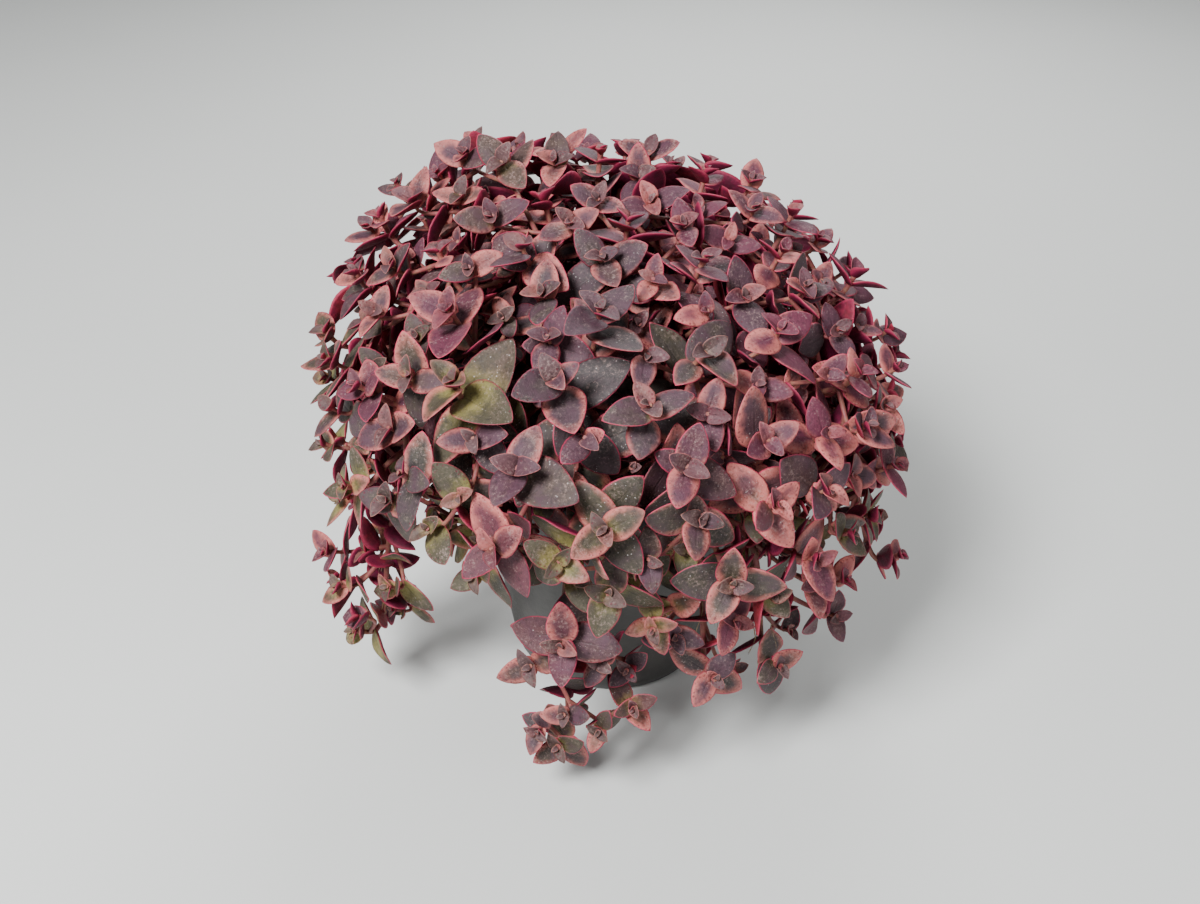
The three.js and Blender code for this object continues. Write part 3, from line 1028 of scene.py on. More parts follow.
SPRIGS = (
    Sprig(-17, 86, 58, 16, 20, Tone.GREY),
    Sprig(-3, 84, 61, 14, 70, Tone.GREY),
    Sprig(-8, 80, 46, 12, 10, Tone.GREEN),
    Sprig(-18, 78, 38, 12, 50),
    Sprig(3, 78, 52, 12, 40, Tone.GREY),
    Sprig(13, 82, 68, 15, 0, Tone.GREY),
    Sprig(26, 84, 70, 16, 60, Tone.PINK),
    Sprig(33, 88, 66, 15, 20, Tone.PINK),
    Sprig(45, 88, 74, 18, 75, Tone.PINK),
    Sprig(42, 84, 54, 12, 35, Tone.GREY),
    Sprig(29, 80, 45, 12, 80, Tone.GREY),
    Sprig(55, 90, 66, 14, 10, Tone.CRIMSON),
    Sprig(-58, 86, 58, 14, 45),
    Sprig(-70, 88, 60, 13, 15),
    Sprig(-76, 88, 74, 14, 70, Tone.CRIMSON),
    Sprig(-64, 82, 40, 11, 30),
    Sprig(-62, 96, 45, 14, 35, Tone.PINK),
    Sprig(-66, 99, 54, 14, 80),
    Sprig(-58, 94, 38, 12, 10, Tone.GREY),
    Sprig(-72, 98, 50, 14, 60, Tone.CRIMSON),
    Sprig(-10, 88, 42, 13, 15, Tone.GREY),
    Sprig(-3, 88, 36, 12, 60),
    Sprig(4, 86, 44, 12, 25, Tone.GREEN),
    Sprig(-16, 86, 30, 12, 75, Tone.GREY),
    Sprig(-6, 86, 26, 11, 40),
    Sprig(20, 86, 56, 14, 50, Tone.GREY),
    Sprig(36, 86, 50, 13, 5),
)


class Filling:
    """What the solids leave to the looks: folded tips, lower pairs, and small shoots in the gaps."""

    points = 4200
    approach = 7.0
    shortest = 12.0
    longest = 62.0
    sprig_longest = 38.0
    hosts_tried = 5
    stem_free = 4.0
    sprig_polar = 92.0
    lean = 0.75
    lit_side = np.array([-0.15, -1.0, 0.3])

    def __init__(self, plant: Plant) -> None:
        """Fill the plant.

        Args:
            plant: The stems with the leaves of the solids. New pairs and parts are added to it.
        """
        self.plant = plant
        self.space = Occupied(clear=1.45, own=1.15, joint=4.5, step=1.5)
        solid_parts = list(plant.parts)
        for part in solid_parts:
            add_stem(self.space, part)
            for pair in part.pairs:
                for leaf in pair.leaves:
                    add_leaf(self.space, part, leaf)
        self._grow_ranks(solid_parts, [0])
        self.hosts: list[Host] = []
        self.stems = {id(part): stem for stem in plant.stems for part in stem.parts}
        for part in solid_parts:
            self._add_hosts(part, (0.3, 0.4, 0.48, 0.56, 0.64, 0.72, 0.8, 0.88, 0.94))
        self.tips = np.array([part.shoot.tip for part in plant.parts])
        sprigs = self._sprigs()
        LOG.info("%d of %d sprigs found a stem", len(sprigs), len(SPRIGS))
        self._grow_ranks(sprigs, range(len(PAIRS)))
        self._grow_ranks(self._layer(LAYERS[0]), range(len(PAIRS)))
        self._grow_ranks(solid_parts, range(FIRST_RANK, len(PAIRS)))
        for layer in LAYERS[1:]:
            self._grow_ranks(self._layer(layer), range(len(PAIRS)))

    def _add_hosts(self, part: StemPart, shares: Sequence[float]) -> None:
        """Let small shoots branch from these places on a part."""
        for share in shares:
            self.hosts.append(Host(part, part.curve.point(share), part.curve.tangent(share)))

    def _grow_ranks(self, parts: Sequence[StemPart], ranks: Iterable[int]) -> None:
        """Grow the pairs of these ranks that have not grown yet.

        Args:
            parts: The parts that carry them.
            ranks: The numbers of the pairs.
        """
        for rank in ranks:
            for part in parts:
                if rank >= len(part.pairs) or part.pairs[rank].solid:
                    continue
                pair = part.pairs[rank]
                if PAIRS[rank].below < 0.86 * part.curve.length:
                    pair.leaves = grow_pair(self.space, part, pair)

    def _sprigs(self) -> list[StemPart]:
        """Grow the listed small shoots.

        Returns:
            The parts that found a stem to grow from.
        """
        grown = []
        for number, sprig in enumerate(SPRIGS):
            draw = draws_from(RULE.seed + 211 * number)
            tip = placed(sprig.bearing, sprig.reach, sprig.height)
            face = self.plant.face(sprig.bearing, self.sprig_polar, draw)
            turn, tone = sprig.turn, sprig.tone
            polar = self.sprig_polar
            shoot = Shoot(sprig.bearing, polar, tip, face, sprig.leaf, turn, 1, draw, tone)
            grown += self._small_part(shoot, self.sprig_longest)
        return grown

    def _layer(self, layer: Layer) -> list[StemPart]:
        """Put a small shoot into every gap between the tips of a layer.

        Args:
            layer: The layer.

        Returns:
            The new parts.
        """
        chance = draws_from(RULE.seed + int(layer.deepest))
        grown: list[StemPart] = []
        for number, (bearing, polar) in enumerate(spiral(self.points, layer.below_hem)):
            depth = blend(layer.shallowest, layer.deepest, chance())
            tip = CROWN.point(bearing, polar, CROWN.swell(bearing, polar))
            tip = tip - self._out(bearing, polar) * depth
            if (np.linalg.norm(self.tips - tip, axis=1) < layer.tips).any():
                continue
            draw = draws_from(RULE.seed + 1009 * len(self.plant.parts) + number)
            face = self._to_light(self.plant.face(bearing, polar, draw), polar)
            leaf = blend(layer.leaf_least, layer.leaf_most, draw())
            turn = 180 * draw()
            shoot = Shoot(bearing, polar, tip, face, leaf, turn, 1, draw, Tone.MIXED)
            grown += self._small_part(shoot, self.longest)
        return grown

    def _to_light(self, face: Point, polar: float) -> Point:
        """Lean a shoot to the lit side, most of all on the top of the crown."""
        return unit(face + self.lit_side * self.lean * max(0.0, math.cos(math.radians(polar))))

    @staticmethod
    def _out(bearing: float, polar: float) -> Point:
        """Give the direction out of the crown."""
        low = max(0.0, math.cos(math.radians(polar)))
        return unit(outward(bearing) * math.sin(math.radians(polar)) + UP * low)

    def _small_part(self, shoot: Shoot, longest: float) -> list[StemPart]:
        """Grow a small shoot's stem from the best host that gives it a clear way, if there is one.

        Args:
            shoot: The small shoot.
            longest: The longest way to its host.

        Returns:
            The new part alone, or nothing.
        """
        way = shoot.tip - np.array([host.point for host in self.hosts])
        apart = np.linalg.norm(way, axis=1)
        ahead = np.array([host.tangent for host in self.hosts])
        agree = (way * ahead).sum(axis=1) / apart
        cost = apart * (1.7 - agree)
        cost[(apart < self.shortest) | (apart > longest) | (agree < 0.1)] = np.inf
        number = len(self.plant.parts)
        for best in np.argsort(cost)[: self.hosts_tried]:
            if not np.isfinite(cost[best]):
                break
            host = self.hosts[best]
            neck = shoot.tip - shoot.face * self.approach
            curve = StemCurve([host.point, neck, shoot.tip])
            steps = math.ceil(curve.length / self.space.step)
            points = np.array([curve.point(i / steps) for i in range(steps + 1)])
            open_way = points[np.linalg.norm(points - host.point, axis=1) > self.stem_free]
            free = np.full(len(open_way), np.inf)
            if meets_pot(open_way) or self.space.blocks(open_way, number, free):
                continue
            part = StemPart(shoot, curve, 0.8, len(PAIRS), number)
            part.pairs = [part.pair(rank) for rank in range(MAIN_RANKS)]
            self.space.add(points, number, np.full(len(points), np.inf))
            self.plant.parts.append(part)
            self.tips = np.vstack([self.tips, shoot.tip])
            stem = self.stems[id(host.part)]
            stem.parts.append(part)
            self.stems[id(part)] = stem
            self._add_hosts(part, (0.4, 0.65))
            return [part]
        return []


Colour = tuple[float, float, float, float]


def paint(red: int, green: int, blue: int) -> Colour:
    """Turn a screen colour from 0 to 255 into the linear colour that a shader takes.

    Args:
        red: Its red.
        green: Its green.
        blue: Its blue.

    Returns:
        The colour, opaque.
    """
    values = [value / 255 for value in (red, green, blue)]
    linear = [v / 12.92 if v <= 0.04045 else ((v + 0.055) / 1.055) ** 2.4 for v in values]
    return (linear[0], linear[1], linear[2], 1.0)


class Value:
    """A number that flows through a node tree and takes part in arithmetic."""

    def __init__(self, graph: "Graph", socket: NodeSocket) -> None:
        """Wrap the socket that the number comes out of."""
        self.graph = graph
        self.socket = socket

    def _math(self, operation: str, *terms: "Value | float") -> "Value":
        """Add a Math node on some terms."""
        inputs = dict(enumerate(terms))
        return self.graph.value("ShaderNodeMath", {"operation": operation}, inputs)

    def __add__(self, other: "Value | float") -> "Value":
        """Add."""
        return self._math("ADD", self, other)

    def __sub__(self, other: "Value | float") -> "Value":
        """Subtract."""
        return self._math("SUBTRACT", self, other)

    def __rsub__(self, other: float) -> "Value":
        """Subtract from a number."""
        return self._math("SUBTRACT", other, self)

    def __mul__(self, other: "Value | float") -> "Value":
        """Multiply."""
        return self._math("MULTIPLY", self, other)

    def __truediv__(self, other: "Value | float") -> "Value":
        """Divide."""
        return self._math("DIVIDE", self, other)

    def __pow__(self, power: float) -> "Value":
        """Raise to a power."""
        return self._math("POWER", self, power)

    def sine(self) -> "Value":
        """Take the sine."""
        return self._math("SINE", self)

    def size(self) -> "Value":
        """Take away the sign."""
        return self._math("ABSOLUTE", self)

    def at_most(self, other: "Value | float") -> "Value":
        """Take the smaller one."""
        return self._math("MINIMUM", self, other)

    def ramp(self, low: float, high: float, to_low: float = 0, to_high: float = 1) -> "Value":
        """Map one range to another with soft ends.

        Args:
            low: The value that gives to_low.
            high: The value that gives to_high.
            to_low: The result at low and below.
            to_high: The result at high and above.

        Returns:
            The mapped number.
        """
        if low > high:
            low, high, to_low, to_high = high, low, to_high, to_low
        settings = {"interpolation_type": "SMOOTHSTEP"}
        inputs = {0: self, 1: low, 2: high, 3: to_low, 4: to_high}
        return self.graph.value("ShaderNodeMapRange", settings, inputs)


class Graph:
    """A node tree while it is built, for a material or for geometry."""

    def __init__(self, tree: NodeTree) -> None:
        """Start with the tree's own nodes."""
        self.tree = tree

    @staticmethod
    def _find(sockets: bpy.types.bpy_prop_collection, key: int | str) -> NodeSocket:
        """Find a socket by its number, its identifier or its name.

        Args:
            sockets: A node's inputs or outputs.
            key: What it goes by.

        Returns:
            The socket.
        """
        if isinstance(key, int):
            return sockets[key]
        for socket in sockets:
            if socket.identifier == key and socket.enabled:
                return socket
        return next(socket for socket in sockets if socket.name == key and socket.enabled)

    def node(
        self, kind: str, settings: dict | None = None, inputs: dict | None = None
    ) -> Node:
        """Add a node.

        Args:
            kind: The node's type.
            settings: Its own settings, set first.
            inputs: The value or the link of each socket, by number, identifier or name.

        Returns:
            The node.
        """
        node = self.tree.nodes.new(kind)
        for name, setting in (settings or {}).items():
            setattr(node, name, setting)
        for key, given in (inputs or {}).items():
            self.feed(node, key, given)
        return node

    def feed(self, node: Node, key: int | str, given: object) -> None:
        """Give a node's socket a value or a link, or several links.

        Args:
            node: The node.
            key: The socket's number, identifier or name.
            given: A value, a link, or a list of them.
        """
        socket = self._find(node.inputs, key)
        for one in given if isinstance(given, list) else [given]:
            if isinstance(one, Value):
                self.tree.links.new(one.socket, socket)
            elif isinstance(one, NodeSocket):
                self.tree.links.new(one, socket)
            else:
                socket.default_value = one

    def value(self, kind: str, settings: dict | None, inputs: dict, out: int | str = 0) -> Value:
        """Add a node and give one of its outputs as a number."""
        return Value(self, self._find(self.node(kind, settings, inputs).outputs, out))

    def out(
        self, kind: str, settings: dict | None, inputs: dict, out: int | str = 0
    ) -> NodeSocket:
        """Add a node and give one of its outputs as it is."""
        return self._find(self.node(kind, settings, inputs).outputs, out)

    def mix(self, low: object, high: object, share: Value | float) -> NodeSocket:
        """Mix two colours."""
        inputs = {"Factor_Float": share, "A_Color": low, "B_Color": high}
        return self.out("ShaderNodeMix", {"data_type": "RGBA"}, inputs, "Result_Color")

    def noise(self, place: object, scale: float, detail: float = 3, rough: float = 0.5) -> Value:
        """Give noise from 0 to 1 at a place."""
        inputs = {"Vector": place, "Scale": scale, "Detail": detail, "Roughness": rough}
        return self.value("ShaderNodeTexNoise", None, inputs, "Fac")

    def spots(self, place: object, scale: float, spread: float = 1) -> Value:
        """Give the distance to the nearest of many scattered points."""
        inputs = {"Vector": place, "Scale": scale, "Randomness": spread}
        return self.value("ShaderNodeTexVoronoi", None, inputs, "Distance")

    def vector(self, operation: str, *terms: object) -> NodeSocket:
        """Add a Vector Math node.

        Args:
            operation: Its operation.
            terms: Its terms, in order.

        Returns:
            The vector.
        """
        node = self.node("ShaderNodeVectorMath", {"operation": operation})
        for number, term in enumerate(terms):
            self.feed(node, "Scale" if operation == "SCALE" and number else number, term)
        return node.outputs[0]

    def bump(self, height: Value, strength: float, distance: float) -> NodeSocket:
        """Turn a height into a surface direction."""
        inputs = {"Height": height, "Strength": strength, "Distance": distance}
        return self.out("ShaderNodeBump", None, inputs, "Normal")


class Finish:
    """A material made of nodes, with the parts that all of them share."""

    name = "finish"

    def material(self) -> Material:
        """Make the material, or give the one made before.

        Returns:
            The material.
        """
        made = bpy.data.materials.get(self.name)
        if made is None:
            made = bpy.data.materials.new(self.name)
            made.use_nodes = True
            graph = Graph(made.node_tree)
            shader = made.node_tree.nodes["Principled BSDF"]
            self.dress(graph, shader)
        return made

    def dress(self, graph: Graph, shader: Node) -> None:
        """Feed the shader."""
        raise NotImplementedError

    @staticmethod
    def here(graph: Graph, scale: float = 1000) -> NodeSocket:
        """Give the place on the object, in millimetres unless another scale is asked for."""
        place = graph.out("ShaderNodeTexCoord", None, {}, "Object")
        return graph.vector("SCALE", place, scale)

    @staticmethod
    def stored(graph: Graph, name: str) -> Value:
        """Give a number stored on the mesh."""
        return graph.value("ShaderNodeAttribute", {"attribute_name": name}, {}, "Fac")


@dataclass(frozen=True)
class LeafFinish(Finish):
    """Smooth fleshy leaf: grey and mauve above, crimson below, with a pink dotted rim."""

    name: str = "crassula_leaf"
    mauve: Colour = paint(76, 50, 62)
    grey: Colour = paint(62, 57, 57)
    olive: Colour = paint(68, 63, 47)
    lime: Colour = paint(128, 120, 66)
    young: Colour = paint(94, 70, 70)
    blush: Colour = paint(198, 110, 102)
    rose: Colour = paint(104, 36, 60)
    rim: Colour = paint(190, 52, 88)
    young_rim: Colour = paint(164, 122, 104)
    dot: Colour = paint(92, 18, 40)
    # Dark colour of the grain, also used for painted shade along the midrib's groove.
    dark_grain_and_shade: Colour = paint(28, 20, 23)
    pale_grain: Colour = paint(158, 134, 130)
    speck: Colour = paint(216, 208, 206)
    under: Colour = paint(96, 14, 48)
    under_warm: Colour = paint(158, 44, 52)
    dry: Colour = paint(104, 74, 52)

    def dress(self, graph: Graph, shader: Node) -> None:
        """Feed the shader.

        Args:
            graph: The material's node tree.
            shader: Its main shader.
        """
        along = self.stored(graph, "along")
        side = self.stored(graph, "side")
        edge = self.stored(graph, "edge")
        seed = self.stored(graph, "seed")
        age = self.stored(graph, "age")
        green = self.stored(graph, "green")
        red = self.stored(graph, "red")
        place = graph.out("ShaderNodeAttribute", {"attribute_name": "leaf_place"}, {}, "Vector")
        cloud = graph.noise(place, 0.16, 3, 0.6)
        patch = graph.noise(place, 0.5, 3, 0.6)
        grain = graph.noise(place, 1.15, 4, 0.8)
        across = Value(graph, graph.node("ShaderNodeSeparateXYZ", None, {0: place}).outputs[1])
        rib = across.size().ramp(0.45, 0.05) * along.ramp(0.85, 0.3)
        body = graph.mix(self.mauve, self.grey, (age * 1.1 - red * 0.6 + cloud - 0.5).ramp(0, 0.8))
        body = graph.mix(body, self.olive, (green * 1.1 + cloud * 0.8 - 0.75).ramp(0, 0.5))
        lime = (green + cloud * 0.6 - along * 0.7 - 0.66).ramp(0, 0.35)
        body = graph.mix(body, self.lime, lime)
        body = graph.mix(body, self.young, age.ramp(0.32, 0.02, 0, 0.85))
        rosy = (red - 0.5 + cloud * 0.5).ramp(0.1, 0.75) * 0.7
        body = graph.mix(body, self.rose, rosy)
        reach = (seed * 71).sine() ** 2 * 3.2 + red * 1.5 + cloud * 4 - 3.3
        blush = (reach - edge * 0.95 + (0.5 - along) * 1.6 + patch * 0.8).ramp(-0.2, 2.8) * 0.9
        body = graph.mix(body, self.blush, blush * age.ramp(0.1, 0.35))
        body = graph.mix(body, self.dark_grain_and_shade, (grain + patch * 0.5).ramp(0.76, 0.46) * 0.75)
        body = graph.mix(body, self.pale_grain, (grain + cloud * 0.4).ramp(0.72, 0.94) * 0.55)
        # Painted shade: the midrib's groove is darkened, more on older leaves.
        body = graph.mix(body, self.dark_grain_and_shade, rib * age * 0.35)
        rim = graph.mix(self.rim, self.young_rim, (0.34 - age).ramp(-0.12, 0.16) * (1 - red * 0.7))
        narrow = age.ramp(0.1, 0.6, 0.45, 1)
        edging = ((edge + grain * 0.5 - 0.25) / narrow).ramp(0.5, 0.06)
        firm = ((seed * 53).sine() * 0.5 + cloud * 1.4 + red * 0.3).ramp(0.1, 1.1, 0.25, 0.9)
        top = graph.mix(body, rim, edging * firm)
        dots = graph.spots(place, 0.85, 0.55).ramp(0.34, 0.2)
        row = edge.ramp(0.25, 0.5) * edge.ramp(1.7, 1.1)
        top = graph.mix(top, self.dot, dots * row * 0.6)
        scatter = graph.noise(place, 0.4, 2).ramp(0.5, 0.64)
        specks = graph.spots(place, 0.9, 1).ramp(0.24, 0.13) * scatter
        top = graph.mix(top, self.speck, specks * age.ramp(0.3, 0.9) * 0.65)
        warm = ((seed * 37).sine() * 0.6 + cloud * 0.8 - red * 0.3).ramp(0.5, 1)
        below = graph.mix(self.under, self.under_warm, warm * 0.8)
        below = graph.mix(below, self.dark_grain_and_shade, patch.ramp(0.6, 0.35) * 0.45)
        below = graph.mix(below, self.rim, edge.ramp(1.4, 0.1) * 0.4)
        colour = graph.mix(below, top, side.ramp(-0.2, 0.12))
        colour = graph.mix(colour, self.dry, age.ramp(1.15, 1.4))
        graph.feed(shader, "Base Color", colour)
        graph.feed(shader, "Roughness", grain.ramp(0.3, 0.7, 0.5, 0.68))
        graph.feed(shader, "Specular IOR Level", 0.34)
        pores = graph.spots(place, 2.6, 1).ramp(0, 0.5)
        relief = pores * 0.35 + patch * 1.6 + grain * 0.9 - dots * row * 0.4 - rib * 0.6
        graph.feed(shader, "Normal", graph.bump(relief, 0.5, 0.0004))


@dataclass(frozen=True)
class StemFinish(Finish):
    """Thin stem: red-brown near the tip, darker near the soil: partly old bark, partly painted shade
    under the crown.
    """

    name: str = "crassula_stem"
    fresh: Colour = paint(132, 62, 64)
    pale: Colour = paint(150, 102, 82)
    # Old bark colour, also painted shade towards the soil.
    woody_and_shade: Colour = paint(70, 46, 38)

    def dress(self, graph: Graph, shader: Node) -> None:
        """Feed the shader.

        Args:
            graph: The material's node tree.
            shader: Its main shader.
        """
        place = self.here(graph)
        low = self.stored(graph, "low")
        streak = graph.noise(place, 0.5, 4, 0.6)
        colour = graph.mix(self.fresh, self.pale, streak.ramp(0.4, 0.7))
        # Darker towards the soil: partly old bark, partly painted shade under the crown.
        colour = graph.mix(colour, self.woody_and_shade, (low + streak * 0.5 - 0.25).ramp(0.2, 0.8))
        graph.feed(shader, "Base Color", colour)
        graph.feed(shader, "Roughness", streak.ramp(0.3, 0.7, 0.5, 0.75))
        relief = graph.noise(place, 2.2, 4, 0.6)
        graph.feed(shader, "Normal", graph.bump(relief, 0.5, 0.0003))


@dataclass(frozen=True)
class RootFinish(Finish):
    """Dry hair-thin hanging root."""

    name: str = "aerial_root"
    pale: Colour = paint(168, 146, 112)
    dark: Colour = paint(96, 70, 50)

    def dress(self, graph: Graph, shader: Node) -> None:
        """Feed the shader.

        Args:
            graph: The material's node tree.
            shader: Its main shader.
        """
        streak = graph.noise(self.here(graph), 0.35, 3)
        graph.feed(shader, "Base Color", graph.mix(self.dark, self.pale, streak.ramp(0.35, 0.6)))
        graph.feed(shader, "Roughness", streak.ramp(0.3, 0.7, 0.75, 0.9))


@dataclass(frozen=True)
class PotFinish(Finish):
    """Plain dark moulded plastic, with a little dried water and soil on it."""

    name: str = "nursery_pot"
    plastic: Colour = paint(48, 47, 46)
    worn: Colour = paint(70, 68, 66)
    chalk: Colour = paint(118, 112, 104)
    soil: Colour = paint(62, 46, 34)

    def dress(self, graph: Graph, shader: Node) -> None:
        """Feed the shader.

        Args:
            graph: The material's node tree.
            shader: Its main shader.
        """
        place = self.here(graph)
        split = graph.node("ShaderNodeSeparateXYZ", None, {0: place})
        height = Value(graph, split.outputs[2])
        cloud = graph.noise(place, 0.03, 4, 0.6)
        fine = graph.noise(place, 0.5, 5, 0.65)
        streaks = graph.noise(graph.vector("MULTIPLY", place, (1, 1, 0.12)), 0.12, 4, 0.6)
        colour = graph.mix(self.plastic, self.worn, cloud.ramp(0.4, 0.7))
        chalk = streaks.ramp(0.55, 0.75) * fine.ramp(0.4, 0.7) * height.ramp(88, 30)
        colour = graph.mix(colour, self.chalk, chalk * 0.35)
        crumbs = fine.ramp(0.52, 0.66) * (height + cloud * 14).ramp(86, 97)
        colour = graph.mix(colour, self.soil, crumbs * 0.7)
        graph.feed(shader, "Base Color", colour)
        graph.feed(shader, "Roughness", (fine * 0.25 + chalk * 0.3 + 0.32).at_most(0.9))
        relief = graph.noise(place, 1.6, 3, 0.6) + crumbs * 2
        graph.feed(shader, "Normal", graph.bump(relief, 0.22, 0.0003))


@dataclass(frozen=True)
class SoilFinish(Finish):
    """Crumbly damp potting mix."""

    name: str = "potting_mix"
    dark: Colour = paint(36, 25, 18)
    brown: Colour = paint(86, 61, 42)
    fibre: Colour = paint(128, 98, 68)

    def dress(self, graph: Graph, shader: Node) -> None:
        """Feed the shader.

        Args:
            graph: The material's node tree.
            shader: Its main shader.
        """
        place = self.here(graph)
        crumb = graph.spots(place, 0.55, 1)
        cloud = graph.noise(place, 0.22, 5, 0.7)
        colour = graph.mix(self.dark, self.brown, (cloud + crumb * 0.4).ramp(0.45, 0.95))
        colour = graph.mix(colour, self.fibre, graph.noise(place, 1.1, 4, 0.7).ramp(0.6, 0.75))
        graph.feed(shader, "Base Color", colour)
        graph.feed(shader, "Roughness", cloud.ramp(0.3, 0.7, 0.8, 1))
        relief = cloud * 1.5 + graph.noise(place, 1.2, 4, 0.7) - crumb
        graph.feed(shader, "Normal", graph.bump(relief, 0.8, 0.0012))


@dataclass(frozen=True)
class ChipFinish(Finish):
    """Bark chips and white grit in the potting mix, told apart by a stored number."""

    name: str = "soil_chips"
    bark: Colour = paint(92, 62, 42)
    dark_bark: Colour = paint(50, 34, 25)
    grit: Colour = paint(206, 202, 192)

    def dress(self, graph: Graph, shader: Node) -> None:
        """Feed the shader.

        Args:
            graph: The material's node tree.
            shader: Its main shader.
        """
        place = self.here(graph)
        fine = graph.noise(place, 0.8, 4, 0.65)
        pale = self.stored(graph, "pale")
        colour = graph.mix(self.dark_bark, self.bark, fine.ramp(0.35, 0.65))
        colour = graph.mix(colour, self.grit, pale.ramp(0.4, 0.6) * fine.ramp(0.2, 0.6, 0.75, 1))
        graph.feed(shader, "Base Color", colour)
        graph.feed(shader, "Roughness", fine.ramp(0.3, 0.7, 0.75, 0.95))
        graph.feed(shader, "Normal", graph.bump(fine, 0.6, 0.0006))


def mesh_object(name: str, mesh: Mesh) -> Object:
    """Put a mesh into the scene as an object at the origin.

    Args:
        name: The object's name.
        mesh: The mesh.

    Returns:
        The object.
    """
    made = bpy.data.objects.new(name, mesh)
    bpy.context.scene.collection.objects.link(made)
    return made


def smooth(mesh: Mesh, angle: float = 180) -> None:
    """Shade a mesh smoothly, except across edges sharper than an angle.

    Args:
        mesh: The mesh.
        angle: The sharpest angle that is still smooth, in degrees.
    """
    mesh.shade_smooth()
    if angle < 180:
        mesh.set_sharp_from_angle(angle=math.radians(angle))


def ring_faces(rings: int, around: int) -> list[tuple[int, ...]]:
    """Give the faces of a closed body: a first point, rings of points, and a last point.

    Args:
        rings: How many rings it has.
        around: How many points each has.

    Returns:
        The numbers of each face's points.
    """
    last = 1 + rings * around
    faces: list[tuple[int, ...]] = []
    for i in range(around):
        j = (i + 1) % around
        faces.append((0, 1 + j, 1 + i))
        faces.append((last - around + i, last - around + j, last))
        for ring in range(rings - 1):
            low = 1 + ring * around
            high = low + around
            faces.append((low + i, low + j, high + j, high + i))
    return faces


def finished(work: bmesh.types.BMesh, name: str) -> Mesh:
    """Turn a mesh in the making into a finished one.

    Args:
        work: The mesh in the making, which is freed.
        name: The finished mesh's name.

    Returns:
        The finished mesh.
    """
    mesh = bpy.data.meshes.new(name)
    work.to_mesh(mesh)
    work.free()
    return mesh


def plain_copy(name: str, carrier: Object) -> Object:
    """Turn what a carrier's modifiers make into a plain mesh, and remove the carrier.

    Args:
        name: The new object's name.
        carrier: The object with the modifiers.

    Returns:
        The new object.
    """
    view = bpy.context.evaluated_depsgraph_get()
    mesh = bpy.data.meshes.new_from_object(carrier.evaluated_get(view))
    mesh.name = name
    bpy.data.objects.remove(carrier)
    return mesh_object(name, mesh)


def store(mesh: Mesh, name: str, kind: str, values: np.ndarray) -> None:
    """Store numbers or vectors on the points of a mesh.

    Args:
        mesh: The mesh.
        name: The attribute's name.
        kind: Its data type.
        values: One number or vector for each point.
    """
    attribute = mesh.attributes.new(name, kind, "POINT")
    key = "vector" if kind == "FLOAT_VECTOR" else "value"
    attribute.data.foreach_set(key, np.asarray(values, dtype=np.float32).ravel())


@dataclass(frozen=True)
class LeafBlank:
    """The plain closed body that every leaf is shaped from: rings of points from stem to tip."""

    name: str
    stations: tuple[float, ...]
    around: int

    def make(self) -> Object:
        """Make the blank, with each point's place on the leaf stored on it.

        Returns:
            The blank.
        """
        angles = [2 * math.pi * i / self.around for i in range(self.around)]
        along = [0.0] + [a for a in self.stations for _ in angles] + [1.0]
        across = [0.0] + [math.cos(t) for _ in self.stations for t in angles] + [0.0]
        side = [0.0] + [math.sin(t) for _ in self.stations for t in angles] + [0.0]
        mesh = bpy.data.meshes.new(self.name)
        points = [(a, c * 0.3, s * 0.05) for a, c, s in zip(along, across, side)]
        mesh.from_pydata(points, [], ring_faces(len(self.stations), self.around))
        store(mesh, "along", "FLOAT", along)
        store(mesh, "across", "FLOAT", across)
        store(mesh, "side", "FLOAT", side)
        return mesh_object(self.name, mesh)


class RuleTree:
    """A tree of Geometry Nodes with named inputs."""

    def __init__(self, name: str, inputs: Iterable[tuple[str, str]]) -> None:
        """Start the tree.

        Args:
            name: Its name.
            inputs: The name and the kind of each input after the geometry.
        """
        self.tree = bpy.data.node_groups.new(name, "GeometryNodeTree")
        self.graph = Graph(self.tree)
        face = self.tree.interface
        face.new_socket("Geometry", in_out="INPUT", socket_type="NodeSocketGeometry")
        face.new_socket("Geometry", in_out="OUTPUT", socket_type="NodeSocketGeometry")
        self.sockets = {
            name: face.new_socket(name, in_out="INPUT", socket_type=kind).identifier
            for name, kind in inputs
        }
        self.given = self.graph.node("NodeGroupInput")

    def _input(self, name: str) -> NodeSocket:
        """Give one of the tree's named inputs."""
        return self.given.outputs[name]

    def apply(self, carrier: Object, values: dict[str, object]) -> None:
        """Put the rule on an object, with a value for each named input.

        Args:
            carrier: The object.
            values: The values, by name.
        """
        modifier = carrier.modifiers.new("rule", "NODES")
        modifier.node_group = self.tree
        for name, value in values.items():
            modifier[self.sockets[name]] = value


CARRIED = ("base", "ahead", "up", "cup", "fold", "twist", "hook", "wave", "curl", "blank", "kind")
LEAF_BLANKS = (
    ("Large leaf", (0.025, 0.08, 0.17, 0.28, 0.4, 0.53, 0.66, 0.78, 0.88, 0.955), 12),
    ("Medium leaf", (0.03, 0.11, 0.25, 0.43, 0.62, 0.79, 0.92), 10),
    ("Small leaf", (0.04, 0.16, 0.36, 0.6, 0.82), 8),
)
BLANK_LENGTHS = (12.5, 6.5)
LEAF_AGES = (0.04, 0.18, 0.4, 0.6, 0.75, 0.85, 0.95, 1)


